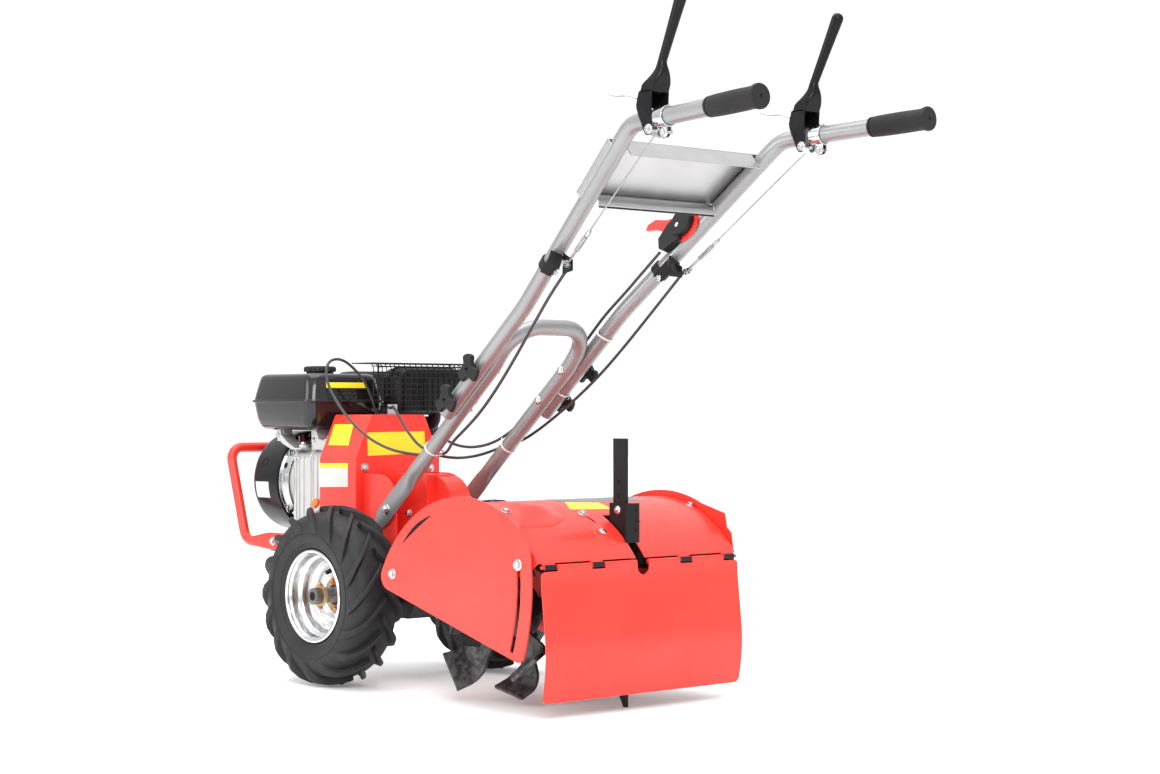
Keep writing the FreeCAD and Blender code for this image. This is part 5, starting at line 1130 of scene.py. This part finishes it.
def make_grip(side, sign):
    start = upper_corner(sign, 2)
    end = upper_corner(sign, 3)
    run = (end - start).normalized()
    length, past_end = 0.128, 0.004
    root = end - run * (length - past_end)
    grip = Shape()
    profile = [(0.0102, 0.015), (0.01, 0.016), (0.0108, 0.017), (0.0142, 0.0172), (0.0146, 0.0157),
        (0.0162, 0.0157), (0.0166, 0.017), (0.03, 0.0177), (0.06, 0.0181), (0.085, 0.0181), (0.106, 0.0177),
        (0.114, 0.018), (0.118, 0.0193), (0.1215, 0.0204), (0.1255, 0.0204), (0.1275, 0.0194),
        (0.128, 0.0175), (0.1272, 0.015), (0.1276, 0.012), (0.1276, 0.0032), (0.124, 0.0028), (0.124, 0.0)]
    levels = [(along, radius, 1.0 if 0.016 < along < 0.115 else 0.0) for along, radius in profile]
    ribbed(grip, levels, root, run, 30, 0.00028)
    grip.piece(side + "_grip_sleeve", GRIP, replaces="grip_" + side, angle=50)


def make_tie(name, centre, run, radius, extra, small):
    """A nylon tie pulled round a tube and a cable beside it."""
    tie = Shape()
    run = run.normalized()
    gap = extra - centre
    gap -= run * gap.dot(run)
    toward = gap.normalized()
    across = run.cross(toward)
    reach = gap.length
    lean = math.asin((radius - small) / reach)
    loop = []
    for step in range(25):
        turn = lerp(math.pi / 2 - lean, math.tau - math.pi / 2 + lean, step / 24)
        loop.append((centre, radius, turn))
    for step in range(9):
        turn = lerp(-math.pi / 2 + lean, math.pi / 2 - lean, step / 8)
        loop.append((centre + gap, small, turn))
    rows = []
    band = ((-0.0017, 0.0), (0.0017, 0.0), (0.0017, 0.0011), (-0.0017, 0.0011))
    for hub, size, turn in loop:
        out = around(toward, across, turn)
        rows.append([hub + out * (size + rise) + run * along for along, rise in band])
    tie.rings(rows, closed=True, capped=False)
    out = around(toward, across, math.pi * 0.72)
    head = centre + out * (radius + 0.0012)
    side = run.cross(out)
    tie.prism([(-0.0024, -0.0024), (0.0024, -0.0024), (0.0024, 0.0024), (-0.0024, 0.0024)], head, run, side,
        0.0042)
    tie.prism([(-0.0013, -0.014), (0.0013, -0.014), (0.0013, 0), (-0.0013, 0)], head + out * 0.0016, run,
        side, 0.0009)
    tie.piece(name, NYLON, bevel=0.0003)


def make_ties():
    make_tie("left_tie", on_leg(LEG, 0.172), LEG_RUN, SLEEVE_R, at(0.069, 0.176, 0.437), 0.003)
    make_tie("right_tie", on_leg(-LEG, 0.176), LEG_RUN, SLEEVE_R, at(-0.112, 0.18, 0.457), 0.003)
    upper_run = (upper_corner(-1, 1) - upper_corner(-1, 0)).normalized()
    for number, along in enumerate((0.3, 0.42)):
        centre = on_upper(-1, 0, along)
        make_tie(f"throttle_tie_{number}", centre, upper_run, SLEEVE_R, centre + X * 0.0165, 0.0032)


make_lower_handlebar()
make_knobs()
for side, sign in SIDES:
    make_grip(side, sign)
make_ties()


# ---------------------------------------------------------------- tray
def make_tray():
    """The cross panel over the upper tubes, with its sides, rear wall, rolled lower lip and edging."""
    run = (upper_corner(1, 2) - upper_corner(1, 1)).normalized()
    flat_run = Vector((0, run.y, run.z)).normalized()
    up = X.cross(flat_run)
    low, high = on_upper(1, 1, 0.672), on_upper(1, 1, 0.767)
    half_low, half_high = low.x, high.x
    origin = Vector((0, low.y, low.z))
    length = math.hypot(high.y - low.y, high.z - low.z)
    wall = 0.0018
    tray = Shape()
    reach = SLEEVE_R + wall
    top = [(-half_low - reach, 0), (half_low + reach, 0), (half_high + reach, length),
        (-half_high - reach, length)]
    tray.prism(top, origin + up * SLEEVE_R, X, flat_run, wall)
    for sign in (1, -1):
        first = origin + X * sign * (half_low + reach) + up * 0.002
        last = origin + X * sign * (half_high + reach) + flat_run * length + up * 0.002
        edge = (last - first).normalized()
        tray.prism([(0, 0), ((last - first).length, 0), ((last - first).length, SLEEVE_R), (0, SLEEVE_R)],
            first - X * sign * (wall if sign > 0 else 0), edge, up, -wall)
    inner = half_high - SLEEVE_R - 0.003
    tray.prism([(-inner, 0), (inner, 0), (inner, 0.034), (-inner, 0.034)],
        origin + flat_run * (length - wall) + up * (SLEEVE_R - 0.034), X, up, -wall)
    tray.piece("tray_plate", SHEET, replaces="handle_tray", bevel=0.0006)
    lip = Shape()
    inner = half_low - SLEEVE_R - 0.003
    curve = arc((-0.0101, SLEEVE_R - 0.015), 0.0181, 56, -56, 12)
    loops = []
    for across in (-inner, -inner + 0.0005, inner - 0.0005, inner):
        loops.append([origin + X * across + flat_run * u + up * v for u, v in curve])
    lip.rings(loops, around=False, capped=False)
    lip.piece("tray_lower_lip", SHEET, thick=0.0016, angle=50)
    edge = Shape()
    edge.pipe([origin + X * across + up * (SLEEVE_R - 0.0304) for across in (-inner, inner)], 0.0014, 10)
    edge.piece("tray_edging", PLASTIC)
    screws = Shape()
    for sign in (1, -1):
        for share_along in (0.2, 0.8):
            spot = lerp(low, high, share_along)
            screws.dome(Vector((sign * spot.x, spot.y, spot.z)) + up * (SLEEVE_R + wall - 0.0003), up, 0.0055)
    screws.piece("tray_screws", ZINC)


make_tray()


# ---------------------------------------------------------------- levers, clamps and their cables' ends
def on_bar(sign, along):
    """The bar's centre under a grip at one Y, and the bar's direction."""
    start, end = upper_corner(sign, 2), upper_corner(sign, 3)
    share = (along + AXLE_Y - start.y) / (end.y - start.y)
    return lerp(start, end, share), (end - start).normalized()


LEVER_Y = 0.842
CLAMP_Y = 0.888
# the outline of a lever's cheek from its pivot's bar, as (along, up)
LEVER_SIDE = [(-0.003, 0.019), (0.002, 0.006), (0.007, -0.004), (0.015, -0.021), (0.018, -0.0255),
    (0.021, -0.027), (0.027, -0.027), (0.03, -0.025), (0.032, -0.021), (0.032, 0.03), (0.033, 0.046),
    (0.004, 0.046)]
# height, front and back, half width and corner radius of the casting between the cheeks and the stem
LEVER_NECK = [(0.043, 0.004, 0.033, 0.02, 0.003), (0.055, 0.008, 0.038, 0.02, 0.004),
    (0.06, 0.012, 0.0405, 0.019, 0.0055), (0.064, 0.016, 0.043, 0.0175, 0.007),
    (0.072, 0.022, 0.046, 0.014, 0.0085), (0.08, 0.0265, 0.0462, 0.0112, 0.0092),
    (0.086, 0.028, 0.045, 0.009, 0.0082), (0.093, 0.03, 0.045, 0.0075, 0.0074)]


def make_lever(side, sign):
    """A clutch lever's casting and stem with its pin, and the clamp that carries it."""
    heart = on_bar(sign, LEVER_Y)[0]
    half, wall = 0.02, 0.0025
    lever = Shape()
    for flank in (1, -1):
        start = heart + X * (half - wall if flank > 0 else -half)
        lever.prism(LEVER_SIDE, start, Y, Z, wall)
    web = half - 0.0005
    lever.prism([(-web, 0), (web, 0), (web, 0.024), (-web, 0.024)], heart + Vector((0, -0.002, 0.0215)), X,
        Vector((0, 0.006, 0.0215)), wall)
    lever.rings([[heart + Vector((u, v, height)) for u, v in rounded((-wide, front), (wide, rear), corner, 5)]
        for height, front, rear, wide, corner in LEVER_NECK])
    lever.piece(side + "_lever_base", BLACK_GLOSS, replaces="clutch_lever_" + side, bevel=0.0007)
    stem = Shape()
    root = heart + Vector((0, 0.0355, 0.088))
    tip = heart + Vector((sign * 0.004, 0.088, 0.198))
    ahead = (tip - root).normalized()
    reach = (tip - root).length + 0.008
    places, scales = [], []
    for along, radius in ((0, 0.0074), (0.01, 0.0075), (reach * 0.4, 0.0083), (reach * 0.7, 0.0093),
            (reach - 0.018, 0.0101), (reach - 0.009, 0.0102), (reach - 0.004, 0.0088),
            (reach - 0.0012, 0.0058), (reach, 0.002)):
        places.append(root + ahead * along)
        scales.append((radius / 0.01, radius / 0.01))
    stem.pipe(places, 0.01, 24, squash=scales)
    stem.piece(side + "_lever_stem", BLACK_GLOSS, angle=70)

    pins = Shape()
    spot = heart + Vector((0, 0.026, -0.0175))
    for flank in (1, -1):
        pins.bolt(spot + X * flank * half, X * flank, 0.0058)
    pins.rod(spot - X * half, spot + X * half, 0.0038, 14)
    pins.piece(side + "_lever_pin", ZINC, bevel=0.0003)

    clamp = Shape()
    middle, run = on_bar(sign, CLAMP_Y)
    clamp.lathe([(-0.011, SLEEVE_R), (0.011, SLEEVE_R), (0.0116, SLEEVE_R + 0.0006),
        (0.0116, SLEEVE_R + 0.0024), (0.011, SLEEVE_R + 0.003), (-0.011, SLEEVE_R + 0.003),
        (-0.0116, SLEEVE_R + 0.0024), (-0.0116, SLEEVE_R + 0.0006)], middle, run, 48, closed=True)
    down = -(Z - run * Z.dot(run)).normalized()
    for flank in (1, -1):
        clamp.prism([(-0.011, SLEEVE_R + 0.001), (0.011, SLEEVE_R + 0.001), (0.011, SLEEVE_R + 0.012)]
            + arc((0.004, SLEEVE_R + 0.012), 0.007, 0, 90, 5) + [(-0.011, SLEEVE_R + 0.019)],
            middle + X * (0.0035 if flank > 0 else -0.006), run, down, -0.0025)
    clamp.prism([(-0.034, 0.0175), (-0.011, 0.016), (-0.011, 0.029), (-0.026, 0.029), (-0.034, 0.025)],
        middle + X * 0.003, run, down, 0.006)
    clamp.piece(side + "_clamp_band", ZINC, replaces="lever_clamp_" + side, bevel=0.0004)
    bolts = Shape()
    spot = middle + run * 0.003 + down * (SLEEVE_R + 0.0105)
    for flank in (1, -1):
        bolts.bolt(spot + X * flank * 0.006, X * flank, 0.0055)
    bolts.rod(spot - X * 0.012, spot + X * 0.012, 0.003, 12)
    bolts.piece(side + "_clamp_bolts", ZINC, bevel=0.0003)


def make_wire(side, sign):
    """The bare wire from a lever to the cable's bracket, with its spring and adjuster, and its loose tail."""
    heart = on_bar(sign, LEVER_Y)[0]
    start = heart + Vector((0, 0.022, -0.024))
    run = (upper_corner(sign, 2) - upper_corner(sign, 1)).normalized()
    strap = on_upper(sign, 1, 0.552)
    under = -(Z - run * Z.dot(run)).normalized()
    ear = strap + run * 0.0415 + under * 0.039
    exit = at(*ROUTES["clutch_cable_" + side][0])
    line = (start - ear).normalized()
    wire = Shape()
    wire.pipe([start, ear + line * 0.09], 0.0014, 8)
    wire.rod(ear, ear + line * 0.034, 0.0024, 10)
    coils, steps = 11, 12
    spring_start = ear + line * 0.034
    first, second = square_to(line)
    path = []
    for step in range(coils * steps + 1):
        turn = math.tau * step / steps
        path.append(spring_start + line * (0.036 * step / (coils * steps))
            + around(first, second, turn, 0.0036))
    wire.pipe(path, 0.0008, 6)
    for way in (first * 0.004, first * -0.004):
        hook = [ear + line * 0.07, ear + line * 0.074 + way, ear + line * 0.084 + way, ear + line * 0.092]
        wire.pipe(bent(hook, [0.003, 0.003], 4), 0.0013, 8)
    tail = [heart + Vector((0.0195, along, height)) for along, height
        in ((-0.001, 0.034), (-0.022, 0.0415), (-0.048, 0.0425), (-0.07, 0.0488))]
    wire.pipe(bent(tail, [0.05, 0.05], 5), 0.0013, 6)
    wire.piece(side + "_clutch_wire", WIRE, angle=60)
    adjuster = Shape()
    back = (exit - ear).normalized()
    adjuster.rod(ear - back * 0.01, exit, 0.003, 12)
    for near, far in ((0.0015, 0.0055), (-0.0055, -0.0015)):
        adjuster.rod(ear + back * near, ear + back * far, 0.0062, 6)
    adjuster.rod(exit - back * 0.01, exit + back * 0.001, 0.0038, 12)
    adjuster.piece(side + "_cable_adjuster", WIRE, bevel=0.0003)


def make_bracket_tabs():
    """The cable brackets' flat ears, with the bolts that close their bands."""
    tabs = Shape()
    tabs.prism([(0.59, 0.753), (0.616, 0.758), (0.616, 0.777), (0.592, 0.79)], at(0.1375, 0, 0), Y, Z, 0.002)
    tabs.prism([(0.585, 0.76), (0.616, 0.756), (0.616, 0.776), (0.588, 0.788)], at(-0.125, 0, 0), Y, Z, 0.002)
    tabs.piece("bracket_tabs", BLACK, bevel=0.0005)
    bolts = Shape()
    bolts.dome(at(0.1395, 0.604, 0.772), X, 0.006)
    bolts.bolt(at(0.1375, 0.574, 0.756), X, 0.0045)
    bolts.bolt(at(-0.123, 0.556, 0.7585), X, 0.0045)
    bolts.dome(at(-0.1225, 0.6034, 0.8513), Vector((0.9315, -0.1277, 0.3407)), 0.0048)
    bolts.piece("bracket_tab_bolts", ZINC)


for side, sign in SIDES:
    make_lever(side, sign)
    make_wire(side, sign)
make_bracket_tabs()


# ---------------------------------------------------------------- hood, shields, flap and stake
def on_hood(across, turn, lift=0.0):
    """A place on the hood's round, at an angle in degrees from its rear, and the way out of it."""
    angle = math.radians(turn)
    out = Vector((0, math.cos(angle), math.sin(angle)))
    return HOOD_AXIS + X * across + out * (HOOD_R + lift), out


def between(first, last, share):
    """A pair of numbers between two pairs."""
    return lerp(first[0], last[0], share), lerp(first[1], last[1], share)


def hood_patch(name, material, corners, rows):
    """A thin plate that follows the hood: corners are (across, angle), in order round the plate."""
    first, second, third, fourth = corners
    shape = Shape()
    loops = []
    for row in range(rows + 1):
        share = row / rows
        left, right = between(first, fourth, share), between(second, third, share)
        loops.append([on_hood(*spot, lift)[0] for spot, lift in ((left, 0.0001), (right, 0.0001),
            (right, 0.0005), (left, 0.0005))])
    shape.rings(loops)
    shape.piece(name, material, angle=60)


def make_hood_trim():
    """Bolts, blank plates, pressed bosses, and slits drawn as dark strips of painted shade on the hood."""
    bolts = Shape()
    for across, turn in ((0.21, 71.1), (0.0515, 65.8), (-0.232, 70.0), (0.096, 128.0), (-0.096, 128.0)):
        place, out = on_hood(across, turn)
        bolts.bolt(place, out, 0.0058)
    place, out = on_hood(0.048, 52.4)
    bolts.dome(place, out, 0.0078)
    bolts.piece("hood_bolts", ZINC, bevel=0.0003)
    hood_patch("hood_yellow_plate", YELLOW, [(0.064, 70.5), (-0.03, 69.2), (-0.03, 77.6), (0.04, 80.6)], 8)
    hood_patch("hood_grey_plate", GREY_PLATE, [(0.05, 83.0), (-0.145, 78.0), (-0.16, 93.0), (0.03, 97.0)], 10)
    # painted shade: the slits are dark strips lying on the hood, standing for the shade in the openings
    slits = Shape()
    for start, stop in (((0.05, 63.6), (0.044, 58.6)), ((-0.056, 60.6), (-0.06, 57.4))):
        places = [on_hood(*between(start, stop, step / 6), 0.0001)[0] for step in range(7)]
        slits.pipe(places, 0.002, 8, squash=[(0.3, 0.3)] + [(1, 0.3)] * 5 + [(0.3, 0.3)])
    slits.piece("hood_slit_shade", GAP_SHADE, angle=60)
    raised = Shape()
    disc = [(0.048 + 0.023 * math.cos(turn), 50.5 + 6.4 * math.sin(turn)) for turn in turns(36)]
    loops = []
    for scale, lift in ((1.0, 0.0), (0.96, 0.0009), (0.9, 0.0014), (0.0, 0.0015)):
        loops.append([on_hood(*between((0.048, 50.5), spot, scale), lift)[0] for spot in disc])
    raised.rings(loops, capped=False)
    edge = [(0.148, 83.0), (0.085, 83.0), (0.105, 62.0), (0.15, 57.0), (0.228, 57.0), (0.222, 66.0),
        (0.19, 72.0)]
    middle = (sum(u for u, v in edge) / len(edge), sum(v for u, v in edge) / len(edge))
    fine = []
    for first, last in zip(edge, edge[1:] + edge[:1]):
        fine += [between(first, last, step / 6) for step in range(6)]
    loops = []
    for scale, lift in ((1.0, 0.0), (0.975, 0.0008), (0.94, 0.0016), (0.5, 0.0022), (0.0, 0.0023)):
        loops.append([on_hood(*between(middle, spot, scale), lift)[0] for spot in fine])
    raised.rings(loops, capped=False)
    raised.piece("hood_bosses", RED, angle=30)


def make_shield_trim(side, sign):
    """A side shield's two bolts, and its curved slot drawn as a dark strip of painted shade."""
    out = X * sign
    face = sign * 0.2435
    pivot = (0.25, 0.226)
    make_bolts(side + "_shield_pivot_bolt", [(face, *pivot, out, 0.0066)])
    guide = Shape()
    reach = 0.347
    turn = math.radians(5.6)
    spot = at(face, pivot[0] + reach * math.cos(turn), pivot[1] + reach * math.sin(turn))
    guide.bolt(spot, out, 0.007)
    guide.rod(spot - out * 0.006, spot, 0.0036, 12)
    turn = math.radians(-1.6)
    spot = at(face - sign * 0.0075, pivot[0] + reach * math.cos(turn), pivot[1] + reach * math.sin(turn))
    guide.rod(spot, spot + out * 0.002, 0.0042, 12)
    guide.piece(side + "_shield_slot_bolt", ZINC, bevel=0.0003)
    # painted shade: the slot is a dark strip on the shield's face, standing for the shade in the opening
    slit = Shape()
    start, stop = Vector((0.28, 0.283)), Vector((0.359, 0.334))
    side_way = Vector((-(stop - start).y, (stop - start).x)).normalized()
    rows = []
    for step in range(11):
        bow = math.sin(step / 10 * math.pi)
        spot = start.lerp(stop, step / 10) + side_way * 0.0045 * bow
        place = at(face, spot.x, spot.y)
        width = Vector((0, -0.55, 0.83)) * (0.25 + 0.9 * bow) * 0.0032
        rows.append([place + out * rise + width * way for way, rise
            in ((-1, -0.0002), (1, -0.0002), (1, 0.00025), (-1, 0.00025))])
    slit.rings(rows)
    slit.piece(side + "_shield_slit_shade", GAP_SHADE, side + "_shield", angle=60)


# the flap's hinge line, as (along, height)
HINGE = (0.6418, 0.2564)


def make_hinge_trim():
    """Black sleeves over the hinge's knuckles and a dark strip that backs the gap beside them, both painted
    shade that stands for the dark openings along the hinge.
    """
    # painted shade: black sleeves over the knuckles make them read as the dark openings along the hinge
    knuckle_shade = Shape()
    for across in (-0.214, -0.105, 0.105, 0.214):
        knuckle_shade.rod(at(across - 0.0138, *HINGE), at(across + 0.0138, *HINGE), 0.0048, 20, tip=0.0005)
    knuckle_shade.piece("hinge_knuckle_shade", BLACK)
    # painted shade: a dark strip inside the hood fills the gap above the flap with shade
    strip = Shape()
    for low, high in ((-0.232, -0.015), (0.015, 0.232)):
        loops = []
        for turn in (34.3, 35.8, 37.4, 39.0):
            loops.append([on_hood(across, turn, lift)[0] for across, lift
                in ((low, -0.0068), (high, -0.0068), (high, -0.006), (low, -0.006))])
        strip.rings(loops)
    strip.piece("hinge_gap_shade", GAP_SHADE)


def down_flap(path, along):
    """The place and the outward way at a distance down the flap's middle line."""
    for first, last in zip(path, path[1:]):
        length = (last - first).length
        if along <= length or last is path[-1]:
            ahead = (last - first).normalized()
            return first + ahead * along, Vector((0, -ahead.z, ahead.y))
        along -= length


def make_flap():
    """The flap's rolled sheet, in columns from the hinge down, cut round the stake's notch."""
    hinge = at(0, *HINGE)
    lean, fold = math.radians(6.4), math.radians(17.5)
    half, wall, rows = 0.235, 0.0025, 22
    knee = hinge + Vector((0, math.sin(lean), -math.cos(lean))) * 0.162
    foot = knee + Vector((0, math.sin(lean - fold), -math.cos(lean - fold))) * 0.067
    path = bent([hinge, knee, foot], [0.3], 14)
    length = sum((last - first).length for first, last in zip(path, path[1:]))
    notch = 0.014
    columns = [notch * math.sin(math.radians(turn)) for turn in range(0, 91, 10)]
    columns += [0.0143, 0.05, 0.089, 0.0895, 0.1205, 0.121, 0.16, 0.198, 0.1985, 0.212]
    columns += [half - 0.01 * (1 - math.cos(math.radians(turn))) for turn in range(90, -1, -15)]
    columns = [-across for across in columns[:0:-1]] + columns
    sheet = Shape()
    loops = []
    for across in columns:
        reach = abs(across)
        top = 0.007
        if reach <= notch:
            top = 0.008 + math.sqrt(notch ** 2 - reach ** 2)
        elif reach <= 0.089 or 0.121 <= reach <= 0.198:
            top = 0.002
        short = max(0.01 - (half - reach), 0)
        corner = 0.01 - math.sqrt(0.01 ** 2 - short ** 2)
        outer, inner = [], []
        for row in range(rows + 1):
            along = lerp(top + corner * 0.6, length - corner, row / rows)
            place, out = down_flap(path, along)
            roll = 0.0035 * max(1 - along / 0.04, 0) ** 2
            outer.append(place + X * across + out * (wall / 2 + roll))
            inner.append(place + X * across + out * (roll - wall / 2))
        loops.append(outer + inner[::-1])
    sheet.rings(loops)
    for low, high in ((-0.198, -0.121), (-0.089, -0.0145), (0.0145, 0.089), (0.121, 0.198)):
        sheet.rod(hinge + X * low, hinge + X * high, 0.0045, 20)
    sheet.piece("flap_sheet", RED, "flap", replaces="rear_flap", bevel=0.0005, angle=40)


def make_stake_trim():
    bolts = Shape()
    bolts.dome(at(0.0083, 0.589, 0.3445), X, 0.0078)
    bolts.rod(at(-0.016, 0.589, 0.3445), at(0.0083, 0.589, 0.3445), 0.003, 12)
    bolts.piece("stake_pin", ZINC, bevel=0.0003)
    # painted shade: dark discs on the bracket stand for the shade in its holes
    holes = Shape()
    for number in range(3):
        height = 0.344 - number * 0.017
        holes.lathe([(0, 0.0034), (0.0002, 0.0034), (0.0002, 0.0)], at(-0.0095, 0.617, height), Y, 16)
    holes.piece("bracket_hole_shade", GAP_SHADE)


make_hood_trim()
make_hinge_trim()
make_flap()
for side, sign in SIDES:
    make_shield_trim(side, sign)
make_stake_trim()


# ---------------------------------------------------------------- front bumper and base
def make_bumper():
    """The bent tube, with each leg's end squashed flat and welded to the base."""
    half, low, top = 0.113, 0.252, 0.441
    foot, nose = -0.413, -0.473
    legs, sections = [], []
    for along, share in ((-0.2382, 1.0), (-0.29, 1.0), (-0.335, 1.0), (-0.343, 0.94), (-0.351, 0.8),
            (-0.359, 0.62), (-0.367, 0.42), (-0.375, 0.22), (-0.383, 0.08), (-0.3905, 0.0)):
        legs.append((lerp(half, 0.1065, share), along, low + 0.002 * share))
        sections.append((lerp(1.0, 0.35, share), lerp(1.0, 1.7, share), lerp(1.0, 0.4, share)))
    corners = [at(*legs[-1]), at(half, foot, low), at(half, nose, top), at(-half, nose, top),
        at(-half, foot, low), at(-legs[-1][0], *legs[-1][1:])]
    arch = bent(corners, [0.03] * 4, 12)[1:-1]
    path = [at(*place) for place in legs] + arch + [at(-x, y, z) for x, y, z in reversed(legs)]
    bar = Shape()
    bar.pipe(path, 0.01, 28, squash=sections + [(1, 1)] * len(arch) + sections[::-1])
    bar.piece("bumper_tube", RED, replaces="front_bumper", angle=50)


def make_front_trim():
    places = ((0.1105, -0.32, 0.254, 0.006), (0.1105, -0.258, 0.256, 0.006), (0.1027, -0.11, 0.253, 0.0055))
    make_bolts("base_bolts", [(sign * x, y, z, X * sign, size) for sign in (1, -1)
        for x, y, z, size in places])


make_bumper()
make_front_trim()


# ---------------------------------------------------------------- surroundings
MIDDLE = Vector((0, 0, 0.4))


def make_light(name, place, size, power):
    """A rectangular lamp that faces the machine's middle."""
    data = bpy.data.lights.new(name, "AREA")
    data.shape = "RECTANGLE"
    data.size, data.size_y = size
    data.energy = power
    item = bpy.data.objects.new(name, data)
    item.location = place
    item.rotation_euler = (MIDDLE - item.location).to_track_quat("-Z", "Y").to_euler()
    bpy.context.scene.collection.objects.link(item)


def make_studio():
    floor = Shape()
    floor.block(Vector((-14, -14, -0.02)), Vector((14, 14, 0)))
    data = bpy.data.meshes.new("floor")
    floor.mesh.to_mesh(data)
    floor.mesh.free()
    item = bpy.data.objects.new("floor", data)
    bpy.context.scene.collection.objects.link(item)
    paint = surface("pale_floor", (0.96, 0.96, 0.96), (0.95, 0.95, 0.95), (0.55, 0.65), bump=0.0,
        specular=0.2)
    shader = paint.node_tree.nodes["Principled BSDF"]
    shader.inputs["Emission Color"].default_value = (1, 1, 1, 1)
    place = node(paint.node_tree, "TexCoord").outputs["Object"]
    paint.node_tree.links.new(spread(paint.node_tree, noise(paint.node_tree, place, 0.5), 0.13, 0.15),
        shader.inputs["Emission Strength"])
    data.materials.append(paint)
    world = bpy.data.worlds.new("studio")
    world.use_nodes = True
    tree = world.node_tree
    back = tree.nodes["Background"]
    back.inputs["Color"].default_value = (1, 1, 1, 1)
    parts = node(tree, "SeparateXYZ")
    tree.links.new(node(tree, "TexCoord").outputs["Generated"], parts.inputs["Vector"])
    glow = spread(tree, parts.outputs["Z"], 0.76, 1.34, 0.0, 0.8)
    seen = node(tree, "Mix", data_type="FLOAT")
    seen.inputs["B"].default_value = 1.07
    tree.links.new(node(tree, "LightPath").outputs["Is Camera Ray"], seen.inputs["Factor"])
    tree.links.new(glow, seen.inputs["A"])
    tree.links.new(seen.outputs["Result"], back.inputs["Strength"])
    bpy.context.scene.world = world
    make_light("key", (2.6, 3.4, 2.8), (2.2, 1.6), 110)
    make_light("top", (0.3, -0.2, 3.6), (3.0, 3.0), 90)
    make_light("side", (3.6, -1.2, 1.4), (1.6, 2.2), 50)
    view = bpy.context.scene.view_settings
    view.view_transform = "Standard"
    view.look = "None"
    view.exposure = 0.0


make_studio()
